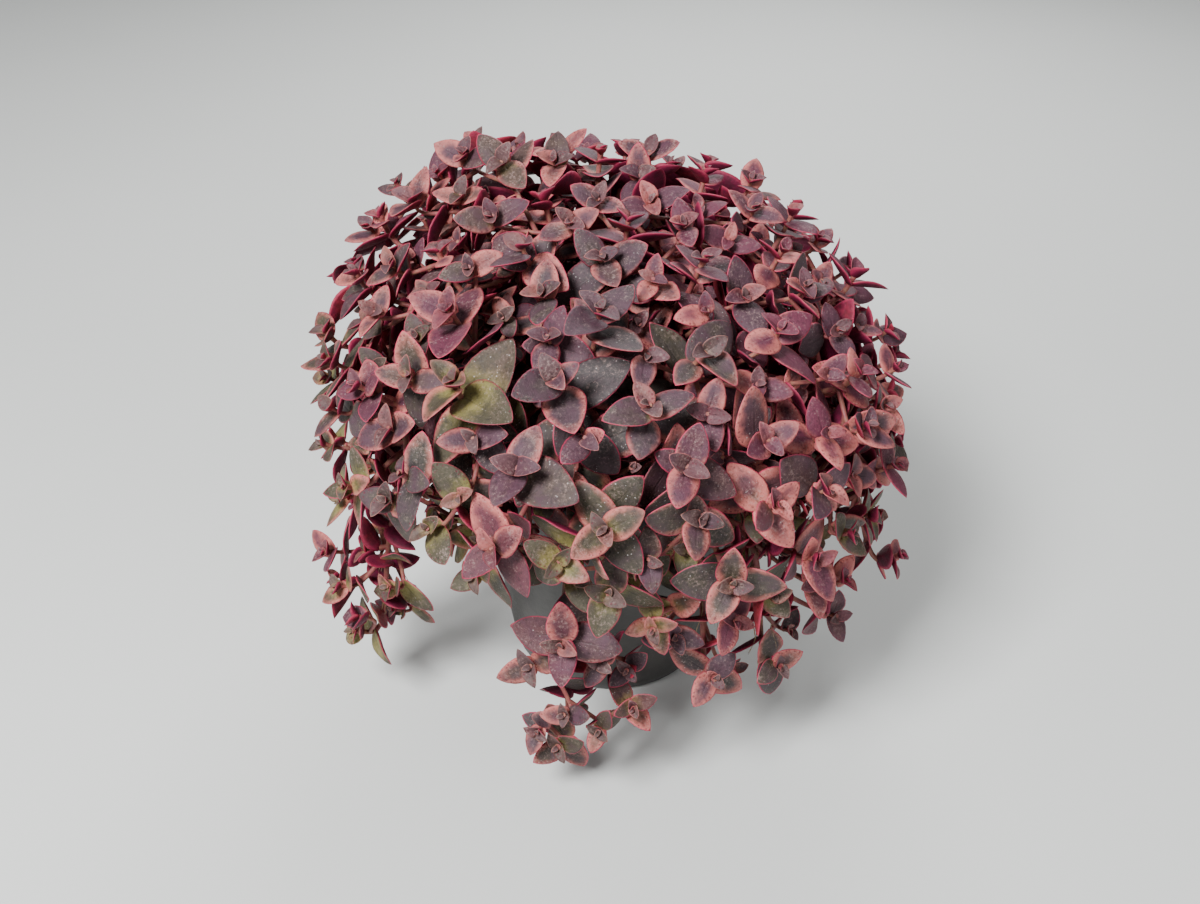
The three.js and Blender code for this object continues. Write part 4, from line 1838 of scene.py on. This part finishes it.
class LeafyStemTree(RuleTree):
    """The rule that turns a stem's points into leaves, stems and roots."""

    inputs = (
        *((name, "NodeSocketObject") for name, _, _ in LEAF_BLANKS),
        ("Leaf width", "NodeSocketFloat"),
        ("Leaf cup", "NodeSocketFloat"),
        ("Leaf lobe", "NodeSocketFloat"),
        ("Leaf thickness", "NodeSocketFloat"),
        ("Stem sides", "NodeSocketInt"),
        ("Root sides", "NodeSocketInt"),
        ("Leaf finish", "NodeSocketMaterial"),
        ("Stem finish", "NodeSocketMaterial"),
        ("Root finish", "NodeSocketMaterial"),
    )

    def __init__(self) -> None:
        """Build the tree."""
        super().__init__("leafy_stem_rule", self.inputs)
        kind = self._number("kind")
        parts = []
        for number, build in enumerate((self._leaves, self._stems, self._roots)):
            chosen = self._compare(kind, number)
            inputs = {"Geometry": self.given.outputs["Geometry"], "Selection": chosen}
            points = self.graph.out("GeometryNodeSeparateGeometry", None, inputs, "Selection")
            parts.append(build(points))
        joined = self.graph.out("GeometryNodeJoinGeometry", None, {"Geometry": parts})
        self.graph.node("NodeGroupOutput", None, {"Geometry": joined})

    def _number(self, name: str) -> Value:
        """Read a number stored on the points."""
        inputs = {"Name": name}
        return self.graph.value("GeometryNodeInputNamedAttribute", {"data_type": "FLOAT"}, inputs)

    def _vector(self, name: str) -> NodeSocket:
        """Read a vector stored on the points."""
        settings = {"data_type": "FLOAT_VECTOR"}
        return self.graph.out("GeometryNodeInputNamedAttribute", settings, {"Name": name})

    def _compare(self, number: Value, wanted: float) -> NodeSocket:
        """Tell where a number is the wanted one.

        Args:
            number: The number.
            wanted: The value it is set against.

        Returns:
            The answer's socket.
        """
        settings = {"data_type": "FLOAT", "operation": "EQUAL"}
        inputs = {"A": number, "B": float(wanted), "Epsilon": 0.25}
        return self.graph.out("FunctionNodeCompare", settings, inputs)

    def _leaves(self, points: NodeSocket) -> NodeSocket:
        """Put a blank at each leaf's point and shape it there.

        Args:
            points: The leaves' points.

        Returns:
            The shaped leaves.
        """
        graph = self.graph
        blanks = self._number("blank")
        sets = []
        for number, (name, _, _) in enumerate(LEAF_BLANKS):
            blank = graph.out(
                "GeometryNodeObjectInfo", None, {"Object": self._input(name)}, "Geometry"
            )
            chosen = self._compare(blanks, number)
            inputs = {"Points": points, "Instance": blank, "Selection": chosen}
            sets.append(graph.out("GeometryNodeInstanceOnPoints", None, inputs))
        leaves = graph.out("GeometryNodeJoinGeometry", None, {"Geometry": sets})
        leaves = graph.out("GeometryNodeRealizeInstances", None, {"Geometry": leaves})
        along = self._number("along")
        across = self._number("across")
        side = self._number("side")
        length = self._number("length")
        half = length * Value(graph, self._input("Leaf width")) * 0.5
        profile = (along**0.5) * ((1 - along) ** 0.8) / 0.4206
        y = half * profile * across
        lobe = across * across * (1 - along) * (1 - along)
        x = length * (along - Value(graph, self._input("Leaf lobe")) * lobe)
        cup = self._number("cup") + Value(graph, self._input("Leaf cup"))
        bend = self._number("curl") * along * along - self._number("hook") * (along**6)
        wave = (along * 9 + self._number("seed") * 40).sine() * across * self._number("wave")
        swell = (1 - along**5) * (along * 9 + 0.35).at_most(1)
        most = (length * 0.11 + 0.00025).at_most(Value(graph, self._input("Leaf thickness")))
        body = side * most * swell * 0.5 * (1 - across.size() ** 3 * 0.25)
        fold = across.size() * half * profile * self._number("fold")
        twist = y * along * self._number("twist")
        z = y * y / half * cup + fold + twist + length * bend + length * wave + body
        across_way = graph.vector("CROSS_PRODUCT", self._vector("up"), self._vector("ahead"))
        spot = graph.vector(
            "ADD", self._vector("base"), graph.vector("SCALE", self._vector("ahead"), x)
        )
        spot = graph.vector("ADD", spot, graph.vector("SCALE", across_way, y))
        spot = graph.vector("ADD", spot, graph.vector("SCALE", self._vector("up"), z))
        place = graph.out(
            "ShaderNodeCombineXYZ",
            None,
            {0: x * 1000, 1: y * 1000, 2: self._number("seed") * 90},
        )
        reach = (1 - across.size()) * half * profile
        edge = reach.at_most((1 - along) * length * 0.6) * 1000
        leaves = graph.out("GeometryNodeSetPosition", None, {"Geometry": leaves, "Position": spot})
        leaves = self._store(leaves, "edge", "FLOAT", edge)
        leaves = self._store(leaves, "leaf_place", "FLOAT_VECTOR", place)
        return self._finish(leaves, "Leaf finish")

    def _store(
        self, geometry: NodeSocket, name: str, kind: str, value: object
    ) -> NodeSocket:
        """Store a number or a vector on the points for the material.

        Args:
            geometry: The geometry.
            name: The attribute's name.
            kind: Its data type.
            value: What is stored.

        Returns:
            The geometry.
        """
        inputs = {"Geometry": geometry, "Name": name, "Value": value}
        settings = {"data_type": kind, "domain": "POINT"}
        return self.graph.out("GeometryNodeStoreNamedAttribute", settings, inputs)

    def _finish(self, geometry: NodeSocket, finish: str) -> NodeSocket:
        """Shade geometry smoothly, drop what only the rule needs, and give it its finish.

        Args:
            geometry: The geometry.
            finish: The input that holds the finish.

        Returns:
            The finished geometry.
        """
        graph = self.graph
        for name in CARRIED:
            inputs = {"Geometry": geometry, "Name": name}
            geometry = graph.out("GeometryNodeRemoveAttribute", None, inputs)
        geometry = graph.out("GeometryNodeSetShadeSmooth", None, {"Geometry": geometry})
        inputs = {"Geometry": geometry, "Material": self._input(finish)}
        return graph.out("GeometryNodeSetMaterial", None, inputs)

    def _tubes(self, paths: NodeSocket, sides: str) -> NodeSocket:
        """Sweep a round section along paths, as thick as the radius stored on them.

        Args:
            paths: Points joined by edges.
            sides: The input with their sides.

        Returns:
            The tubes.
        """
        graph = self.graph
        curve = graph.out("GeometryNodeMeshToCurve", None, {"Mesh": paths})
        section = graph.out(
            "GeometryNodeCurvePrimitiveCircle", None, {"Resolution": self._input(sides), "Radius": 1.0}
        )
        inputs = {"Curve": curve, "Profile Curve": section, "Fill Caps": True}
        inputs["Scale"] = self._number("thick")
        return graph.out("GeometryNodeCurveToMesh", None, inputs)

    def _stems(self, paths: NodeSocket) -> NodeSocket:
        """Make the stems."""
        return self._finish(self._tubes(paths, "Stem sides"), "Stem finish")

    def _roots(self, paths: NodeSocket) -> NodeSocket:
        """Make the hanging roots."""
        return self._finish(self._tubes(paths, "Root sides"), "Root finish")


@dataclass
class Carrier:
    """The points that the leafy stem rule reads, with what is stored on each."""

    rows: list[dict[str, object]] = field(default_factory=list)
    edges: list[tuple[int, int]] = field(default_factory=list)

    numbers = ("kind", "length", "curl", "cup", "fold", "twist", "hook", "wave", "seed", "age")
    numbers += ("green", "red", "blank", "thick", "low")
    vectors = ("base", "ahead", "up")

    def point(self, place: Point, **stored: object) -> int:
        """Add a point and give its number."""
        self.rows.append({"place": place, **stored})
        return len(self.rows) - 1

    def path(self, places: Sequence[Point], thick: Sequence[float], **stored: object) -> None:
        """Add a path of points joined by edges.

        Args:
            places: The points, from one end to the other.
            thick: The radius at each.
            stored: Numbers that all the points get, or lists with one for each.
        """
        before = None
        for i, (place, radius) in enumerate(zip(places, thick)):
            own = {key: value[i] if isinstance(value, list) else value for key, value in stored.items()}
            number = self.point(place, thick=radius * MM, **own)
            if before is not None:
                self.edges.append((before, number))
            before = number

    def make(self, name: str) -> Object:
        """Turn the points into an object for the rule to work on.

        Args:
            name: The object's name.

        Returns:
            The object.
        """
        mesh = bpy.data.meshes.new(name)
        mesh.from_pydata([tuple(row["place"] * MM) for row in self.rows], self.edges, [])
        for key in self.numbers:
            store(mesh, key, "FLOAT", [row.get(key, 0.0) for row in self.rows])
        for key in self.vectors:
            scale = MM if key == "base" else 1
            values = [np.asarray(row.get(key, UP)) * scale for row in self.rows]
            store(mesh, key, "FLOAT_VECTOR", np.array(values))
        return mesh_object(name, mesh)


@dataclass(frozen=True)
class HangingRoots:
    """A tuft of hair-thin roots at a share of a trailing stem's length."""

    stem: int
    share: float
    count: int
    longest: float


ROOT_TUFTS = (
    HangingRoots(1, 0.66, 5, 26),
    HangingRoots(1, 0.8, 3, 16),
    HangingRoots(3, 0.6, 7, 30),
    HangingRoots(3, 0.74, 5, 24),
    HangingRoots(2, 0.62, 4, 20),
    HangingRoots(0, 0.55, 3, 18),
    HangingRoots(4, 0.6, 3, 18),
)


@dataclass
class Foliage:
    """Every leafy stem with its leaves, joints and hanging roots."""

    plant: Plant
    leaf_thickness: float = 1.55
    stem_step: float = 2.4
    joint_swell: float = 1.28
    joint_length: float = 0.9
    root_radius: float = 0.16
    blanks: dict[str, Object] = field(default_factory=dict)

    def build(self) -> list[Object]:
        """Make one piece for each leafy stem, in place of its solid.

        Returns:
            The pieces.
        """
        for name, stations, around in LEAF_BLANKS:
            self.blanks[name] = LeafBlank(name.replace(" ", "_").lower(), stations, around).make()
        rule = LeafyStemTree()
        pieces = []
        for number, stem in enumerate(self.plant.stems):
            name = f"leafy_stem_{number + 1:02d}"
            carrier = self._carrier(number, stem).make(name + "_points")
            rule.apply(carrier, self._values())
            piece = plain_copy(name + "_fine", carrier)
            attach(piece, "root")
            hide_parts(name)
            pieces.append(piece)
        for blank in self.blanks.values():
            bpy.data.objects.remove(blank)
        return pieces

    def _values(self) -> dict[str, object]:
        """Give the value of each of the rule's inputs.

        Returns:
            The values, by name.
        """
        return {
            **self.blanks,
            "Leaf width": Leaf.width,
            "Leaf cup": Leaf.cup,
            "Leaf lobe": Leaf.lobe * 1.6,
            "Leaf thickness": self.leaf_thickness * MM,
            "Stem sides": 8,
            "Root sides": 4,
            "Leaf finish": LeafFinish().material(),
            "Stem finish": StemFinish().material(),
            "Root finish": RootFinish().material(),
        }

    def _carrier(self, number: int, stem: LeafyStem) -> Carrier:
        """Collect the points of one leafy stem.

        Args:
            number: The stem's number.
            stem: The stem.

        Returns:
            The points.
        """
        carrier = Carrier()
        for part in stem.parts:
            draw = draws_from(RULE.seed + 31 * part.number + 5)
            green, red = self._tone(part, draw)
            for pair in part.pairs:
                for leaf in pair.leaves:
                    self._leaf(carrier, pair.rank, leaf, green, red, draw)
            self._stem_path(carrier, part, part is stem.parts[0])
        for tuft in ROOT_TUFTS:
            if tuft.stem == number:
                self._tuft(carrier, stem.parts[0], tuft)
        return carrier

    @staticmethod
    def _tone(part: StemPart, draw: Draw) -> tuple[float, float]:
        """Give how green and how red a shoot's leaves are.

        Args:
            part: The shoot with its stem.
            draw: Its stream of numbers.

        Returns:
            How green and how red, from 0 to 1.
        """
        shoot = part.shoot
        green, red = shoot.tone.value
        if shoot.tone is Tone.MIXED:
            right = math.sin(math.radians(shoot.bearing))
            behind = -math.cos(math.radians(shoot.bearing))
            # Lower shoots get greener, a darker olive, and less red: partly their own colour, partly
            # painted shade from the light above.
            low = max(0.0, (shoot.polar - 60) / 40)
            green = 0.36 - 0.12 * right + 0.42 * low
            red = 0.48 + 0.18 * max(right, 0.6 * behind) - 0.34 * low
        return green + 0.3 * (draw() - 0.5), red + 0.3 * (draw() - 0.5)

    @staticmethod
    def _leaf(
        carrier: Carrier, rank: int, leaf: Leaf, green: float, red: float, draw: Draw
    ) -> None:
        """Add a leaf's point.

        Args:
            carrier: Where the point goes.
            rank: The number of the leaf's pair.
            leaf: The leaf.
            green: How green its shoot is.
            red: How red its shoot is.
            draw: The shoot's stream of numbers.
        """
        carrier.point(
            leaf.base,
            kind=0,
            base=leaf.base,
            ahead=leaf.direction,
            up=leaf.up,
            length=leaf.length * MM,
            curl=leaf.curl,
            cup=0.5 * (draw() - 0.75) if rank > 1 else 0.4,
            fold=0.3 * (draw() - 0.3),
            twist=0.5 * (draw() - 0.5),
            hook=0.14 * (draw() - 0.35),
            wave=0.018 * draw() if rank > 2 else 0,
            seed=draw(),
            age=LEAF_AGES[rank] + 0.2 * (draw() - 0.5),
            green=green + 0.16 * (draw() - 0.5),
            red=red + 0.2 * (draw() - 0.5),
            blank=float(sum(leaf.length < least for least in BLANK_LENGTHS)),
        )

    def _stem_path(self, carrier: Carrier, part: StemPart, rooted: bool) -> None:
        """Add the path of a part's stem, swollen at each joint.

        Args:
            carrier: Where the path goes.
            part: The part.
            rooted: Whether the part stands in the soil.
        """
        length = part.curve.length
        joints = [length - PAIRS[pair.rank].below for pair in part.pairs if pair.leaves]
        steps = max(3, math.ceil(length / self.stem_step))
        stops = {length * i / steps for i in range(steps + 1)}
        for joint in joints:
            stops |= {joint - self.joint_length, joint, joint + self.joint_length}
        places = sorted(stop for stop in stops if 0 <= stop <= length - 0.1)
        thick = []
        low = []
        for place in places:
            share = place / length
            nearest = min((abs(place - joint) for joint in joints), default=9.0)
            swell = blend(self.joint_swell, 1, min(1.0, nearest / self.joint_length))
            thick.append(part.radius * blend(1.05, 0.72, share) * swell)
            # low darkens the stem towards its root: partly old bark, partly painted shade under the
            # crown.
            low.append(1 - share if rooted else 0.45 * (1 - share))
        points = [part.curve.point(place / length) for place in places]
        carrier.path(points, thick, kind=1, low=low)

    def _tuft(self, carrier: Carrier, part: StemPart, tuft: HangingRoots) -> None:
        """Add a tuft of hanging roots.

        Args:
            carrier: Where the paths go.
            part: The stem they hang from.
            tuft: The tuft.
        """
        draw = draws_from(RULE.seed + 97 * tuft.stem + int(100 * tuft.share))
        start = part.curve.point(tuft.share)
        steps = 14
        for _ in range(tuft.count):
            length = tuft.longest * (0.45 + 0.55 * draw())
            bearing = 360 * draw()
            swing = 0.55 + 0.5 * draw()
            curl = 3 + 5 * draw()
            places = []
            for i in range(steps + 1):
                share = i / steps
                out = outward(bearing) * length * 0.42 * swing * math.sin(share * 1.7)
                sway = sideways(bearing) * 1.6 * math.sin(share * curl) * share
                places.append(start + out + sway - UP * length * share**1.25)
            places = [place for place in places if place[2] > 1]
            thick = [self.root_radius * blend(1.2, 0.45, i / steps) for i in range(len(places))]
            carrier.path(places, thick, kind=2)


@dataclass
class Pot:
    """The plain tapered pot with its band, its lip and its drain holes."""

    sides: int = 120
    lip: float = 0.9

    def build(self) -> Object:
        """Make the pot in place of its solid.

        Returns:
            The pot.
        """
        mesh = turned_mesh("pot_fine", self._profile(), self.sides)
        pot = mesh_object("pot_fine_turned", mesh)
        cutter = mesh_object("drain_cutter", self._cutters())
        cut = pot.modifiers.new("drains", "BOOLEAN")
        cut.object = cutter
        cut.operation = "DIFFERENCE"
        cut.solver = "EXACT"
        piece = plain_copy("pot_fine", pot)
        bpy.data.objects.remove(cutter)
        smooth(piece.data, 38)
        piece.data.materials.append(PotFinish().material())
        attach(piece, "root")
        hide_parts("pot")
        return piece

    def _profile(self) -> list[tuple[float, float]]:
        """Give the wall's outline, from the middle of the underside round to the floor's middle.

        Returns:
            (radius, height) points.
        """
        band_low = POT.height - POT.band_height
        foot = POT.base_radius - POT.foot_inset
        profile = [(0.0, 0.0), (foot - 3.0, 0.0), (foot - 0.6, 0.05), (foot, 0.45)]
        profile += [(POT.radius(h) - (1.2 if h < 4 else 0) * (4 - h) / 4, h) for h in (1.5, 3, 4.4)]
        for height in range(10, int(band_low) - 2, 6):
            profile.append((POT.radius(height), float(height)))
        wall = POT.radius(band_low)
        rim = POT.rim_radius
        top = POT.height
        profile += [(wall, band_low - 1), (wall + 0.25, band_low - 0.2)]
        profile += [(rim - 0.9, band_low), (rim - 0.35, band_low + 0.2), (rim - 0.15, band_low + 0.8)]
        profile += [(rim - 0.05, band_low + 4), (rim, top - 2.2), (rim + 0.12, top - 1.3)]
        profile += self._lip(rim - self.lip + 0.12, top - self.lip)
        inner = POT.radius(top) - POT.wall
        profile += [(inner + 0.25, top - 0.9), (inner, top - 2.5), (POT.radius(45) - POT.wall, 45.0)]
        low = POT.radius(POT.floor) - POT.wall
        profile += [(low + 0.3, POT.floor + 1.4), (low - 0.7, POT.floor), (0.0, POT.floor)]
        return profile

    def _lip(self, reach: float, height: float) -> list[tuple[float, float]]:
        """Give the rounded top of the wall.

        Args:
            reach: Radius of the middle of its round.
            height: Height of that middle.

        Returns:
            (radius, height) points, from outside in.
        """
        turns = [math.radians(angle) for angle in (20, 45, 70, 90)]
        outer = [(reach + self.lip * math.cos(t), height + self.lip * math.sin(t)) for t in turns]
        return [*outer, (POT.radius(POT.height) - POT.wall + 0.9, POT.height - 0.05)]

    @staticmethod
    def _cutters() -> Mesh:
        """Make the plugs that cut the drain holes.

        Returns:
            Their mesh.
        """
        work = bmesh.new()
        for number in range(POT.drains):
            middle = placed(360 / POT.drains * number, POT.drain_ring, POT.floor / 2)
            made = bmesh.ops.create_cone(
                work,
                cap_ends=True,
                segments=32,
                radius1=POT.drain_radius * MM,
                radius2=POT.drain_radius * MM,
                depth=(POT.floor + 4) * MM,
            )
            bmesh.ops.translate(work, verts=made["verts"], vec=tuple(middle * MM))
        return finished(work, "drain_cutter")


def turned_mesh(name: str, profile: Sequence[tuple[float, float]], sides: int) -> Mesh:
    """Turn a closed body about the pot's axis.

    Args:
        name: The mesh's name.
        profile: (radius, height) points from the axis below round to the axis above.
        sides: How many sides it has.

    Returns:
        The mesh, in metres.
    """
    points = [(0.0, 0.0, profile[0][1] * MM)]
    for radius, height in profile[1:-1]:
        for i in range(sides):
            angle = 2 * math.pi * i / sides
            points.append((radius * math.cos(angle) * MM, radius * math.sin(angle) * MM, height * MM))
    points.append((0.0, 0.0, profile[-1][1] * MM))
    mesh = bpy.data.meshes.new(name)
    mesh.from_pydata(points, [], ring_faces(len(profile) - 2, sides))
    return mesh


class ChipTree(RuleTree):
    """The rule that scatters turned and stretched chips over a surface's top."""

    inputs = (
        ("Chip", "NodeSocketObject"),
        ("Chips per square metre", "NodeSocketFloat"),
        ("Seed", "NodeSocketInt"),
        ("Finish", "NodeSocketMaterial"),
    )

    def __init__(self) -> None:
        """Build the tree."""
        super().__init__("chip_rule", self.inputs)
        graph = self.graph
        normal = graph.out("GeometryNodeInputNormal", None, {})
        upright = Value(graph, graph.node("ShaderNodeSeparateXYZ", None, {0: normal}).outputs[2])
        compare = {"data_type": "FLOAT", "operation": "GREATER_THAN"}
        top = graph.out("FunctionNodeCompare", compare, {"A": upright, "B": 0.5})
        inputs = {
            "Mesh": self._input("Geometry"),
            "Selection": top,
            "Density": self._input("Chips per square metre"),
            "Seed": self._input("Seed"),
        }
        points = graph.out("GeometryNodeDistributePointsOnFaces", None, inputs, "Points")
        pale = self._chance("FLOAT", 0.0, 1.0, 3)
        settings = {"data_type": "FLOAT", "domain": "POINT"}
        inputs = {"Geometry": points, "Name": "pale", "Value": Value(graph, pale) ** 5}
        points = graph.out("GeometryNodeStoreNamedAttribute", settings, inputs)
        inputs = {"Object": self._input("Chip")}
        chip = graph.out("GeometryNodeObjectInfo", None, inputs, "Geometry")
        turn = self._chance("FLOAT_VECTOR", (0, 0, 0), (6.28, 6.28, 6.28), 5)
        size = self._chance("FLOAT_VECTOR", (0.35, 0.3, 0.25), (1.5, 1.1, 0.7), 6)
        inputs = {"Points": points, "Instance": chip, "Rotation": turn, "Scale": size}
        chips = graph.out("GeometryNodeInstanceOnPoints", None, inputs)
        chips = graph.out("GeometryNodeRealizeInstances", None, {"Geometry": chips})
        inputs = {"Geometry": chips, "Material": self._input("Finish")}
        chips = graph.out("GeometryNodeSetMaterial", None, inputs)
        graph.node("NodeGroupOutput", None, {"Geometry": chips})

    def _chance(self, kind: str, least: object, most: object, seed: int) -> NodeSocket:
        """Give a random number or vector for each point.

        Args:
            kind: Its data type.
            least: The least value.
            most: The greatest.
            seed: The seed.

        Returns:
            Its socket.
        """
        keys = ("Min", "Max") if kind == "FLOAT_VECTOR" else ("Min_001", "Max_001")
        inputs = {keys[0]: least, keys[1]: most, "Seed": seed}
        return self.graph.out("FunctionNodeRandomValue", {"data_type": kind}, inputs, "Value")


@dataclass
class Soil:
    """The potting mix: a crumbly top, and chips scattered over it."""

    sides: int = 128
    rings: int = 30
    chips: float = 46000
    seed: int = 11

    def build(self) -> list[Object]:
        """Make the soil in place of its solid, and its chips.

        Returns:
            The soil and its chips.
        """
        edge = POT.radius(POT.soil_top) - POT.wall - POT.soil_gap
        low = POT.floor + POT.soil_gap
        foot = POT.radius(low) - POT.wall - POT.soil_gap
        top = [(edge * (1 - i / self.rings), POT.soil_top) for i in range(self.rings)]
        profile = [(0.0, low), (foot, low), (edge, POT.soil_top - 2), *top, (0.0, POT.soil_top)]
        mesh = turned_mesh("soil_fine", profile, self.sides)
        for vertex in mesh.vertices:
            if vertex.co.z > (POT.soil_top - 1) * MM:
                vertex.co.z += self._lump(vertex.co.x / MM, vertex.co.y / MM) * MM
        smooth(mesh)
        soil = mesh_object("soil_fine", mesh)
        soil.data.materials.append(SoilFinish().material())
        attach(soil, "root")
        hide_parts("soil")
        chips = self._chips(soil)
        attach(chips, "root")
        return [soil, chips]

    @staticmethod
    def _lump(x: float, y: float) -> float:
        """Give the soil's height over its level at a place.

        Args:
            x: The place to the right.
            y: The place to the back.

        Returns:
            The height.
        """
        broad = math.sin(x * 0.31) * math.cos(y * 0.27 + 1) * POT.soil_bump
        crumbs = math.sin(x * 1.3 + 2 * math.sin(y * 0.7)) * math.sin(y * 1.1 + 1.7 * math.sin(x * 0.9))
        fine = math.sin(x * 2.9 + y * 1.7) * math.sin(y * 3.3 - x * 1.2)
        return broad + 0.45 * crumbs + 0.22 * fine

    def _chips(self, soil: Object) -> Object:
        """Scatter chips of bark and white grit over the soil's top.

        Args:
            soil: The finished soil.

        Returns:
            The chips.
        """
        blank = self._chip()
        carrier = mesh_object("chip_carrier", soil.data.copy())
        values = {
            "Chip": blank,
            "Chips per square metre": self.chips,
            "Seed": self.seed,
            "Finish": ChipFinish().material(),
        }
        ChipTree().apply(carrier, values)
        piece = plain_copy("soil_chips", carrier)
        bpy.data.objects.remove(blank)
        return piece

    @staticmethod
    def _chip() -> Object:
        """Make one rough chip.

        Returns:
            The chip.
        """
        work = bmesh.new()
        bmesh.ops.create_icosphere(work, subdivisions=1, radius=1.1 * MM)
        draw = draws_from(29)
        for vertex in work.verts:
            vertex.co *= 0.7 + 0.6 * draw()
        return mesh_object("chip_blank", finished(work, "chip_blank"))


@dataclass(frozen=True)
class FloorFinish(Finish):
    """Plain pale floor."""

    name: str = "studio_floor"
    pale: Colour = paint(214, 216, 214)

    def dress(self, graph: Graph, shader: Node) -> None:
        """Feed the shader.

        Args:
            graph: The material's node tree.
            shader: Its main shader.
        """
        cloud = graph.noise(self.here(graph), 0.004, 2)
        graph.feed(shader, "Base Color", graph.mix(self.pale, paint(206, 208, 206), cloud))
        graph.feed(shader, "Roughness", 0.9)


@dataclass
class Studio:
    """The pale floor, the soft lights and the camera at the photograph's angle."""

    elevation: float = 35
    distance: float = 450
    focal_pixels: float = 1350
    frame_width: float = 1200
    frame_height: float = 904
    target_x: float = 612
    target_y: float = 410
    target: tuple[float, float, float] = (0, 0, 96)

    def build(self) -> None:
        """Set the studio up."""
        self._floor()
        self._camera()
        self._light("key_light", (-420, -560, 900), 360, 25.5)
        self._light("fill_light", (620, -520, 420), 600, 2.2)
        self._light("back_light", (150, 700, 620), 500, 6.0)
        world = bpy.data.worlds.new("studio")
        world.use_nodes = True
        world.node_tree.nodes["Background"].inputs["Color"].default_value = (0.86, 0.92, 0.94, 1)
        world.node_tree.nodes["Background"].inputs["Strength"].default_value = 0.12
        bpy.context.scene.world = world

    @staticmethod
    def _floor() -> None:
        """Lay the floor."""
        work = bmesh.new()
        bmesh.ops.create_grid(work, x_segments=1, y_segments=1, size=3)
        mesh = finished(work, "floor")
        mesh.materials.append(FloorFinish().material())
        mesh_object("floor", mesh)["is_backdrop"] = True

    def _camera(self) -> None:
        """Place the camera so that the target falls on its own pixel of the photograph."""
        angle = math.radians(self.elevation)
        right = np.array([1.0, 0.0, 0.0])
        up = np.array([0.0, math.sin(angle), math.cos(angle)])
        back = np.array([0.0, -math.cos(angle), math.sin(angle)])
        pixel = self.distance / self.focal_pixels
        aside = (self.target_x - self.frame_width / 2) * pixel
        above = (self.frame_height / 2 - self.target_y) * pixel
        aim = np.array(self.target, dtype=float) - right * aside - up * above
        data = bpy.data.cameras.new("photo_camera")
        data.sensor_width = 36
        data.lens = 36 * self.focal_pixels / self.frame_width
        data.clip_start = 0.01
        data.clip_end = 20
        camera = bpy.data.objects.new("photo_camera", data)
        camera.location = tuple((aim + back * self.distance) * MM)
        camera.rotation_euler = (math.radians(90) - angle, 0, 0)
        bpy.context.scene.collection.objects.link(camera)
        bpy.context.scene.camera = camera

    def _light(
        self, name: str, place: tuple[float, float, float], size: float, power: float
    ) -> None:
        """Hang a square light that faces the plant.

        Args:
            name: Its name.
            place: Its middle.
            size: Its side.
            power: Its power in watts.
        """
        data = bpy.data.lights.new(name, "AREA")
        data.shape = "SQUARE"
        data.size = size * MM
        data.energy = power
        lamp = bpy.data.objects.new(name, data)
        way = Vector(self.target) - Vector(place)
        lamp.location = Vector(place) * MM
        lamp.rotation_euler = way.to_track_quat("-Z", "Y").to_euler()
        bpy.context.scene.collection.objects.link(lamp)


def triangles(piece: Object) -> int:
    """Count a piece's triangles."""
    return sum(len(polygon.vertices) - 2 for polygon in piece.data.polygons)


def plain_box(bounds: Sequence[Sequence[float]]) -> list[list[float]]:
    """Give a box as plain lists of numbers."""
    return [[float(value) for value in corner] for corner in bounds]


def main(solids: Sequence[Sequence[float]]) -> None:
    """Build the looks.

    Args:
        solids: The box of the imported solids.
    """
    logging.basicConfig(level=logging.INFO, format="%(message)s")
    plant = Plant()
    solid_leaves = sum(len(pair.leaves) for part in plant.parts for pair in part.pairs)
    Filling(plant)
    leaves = sum(len(pair.leaves) for part in plant.parts for pair in part.pairs)
    LOG.info("%d leaves, %d of them in the solids, on %d shoots", leaves, solid_leaves, len(plant.parts))
    pieces = [*Foliage(plant).build(), Pot().build(), *Soil().build()]
    for piece in pieces:
        LOG.info("%s: %d triangles", piece.name, triangles(piece))
    LOG.info("%d triangles in all", sum(triangles(piece) for piece in pieces))
    Studio().build()
    sizes = {"solids": plain_box(solids), "looks": plain_box(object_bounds())}
    LOG.info("sizes %s", sizes)


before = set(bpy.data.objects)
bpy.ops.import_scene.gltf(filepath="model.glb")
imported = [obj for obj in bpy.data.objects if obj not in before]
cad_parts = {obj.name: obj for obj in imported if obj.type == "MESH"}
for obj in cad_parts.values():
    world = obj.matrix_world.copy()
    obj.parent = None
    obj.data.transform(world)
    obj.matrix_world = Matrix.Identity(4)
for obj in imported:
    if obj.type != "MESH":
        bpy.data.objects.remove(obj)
solid_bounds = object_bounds()

if __name__ == "__main__":
    main(solid_bounds)
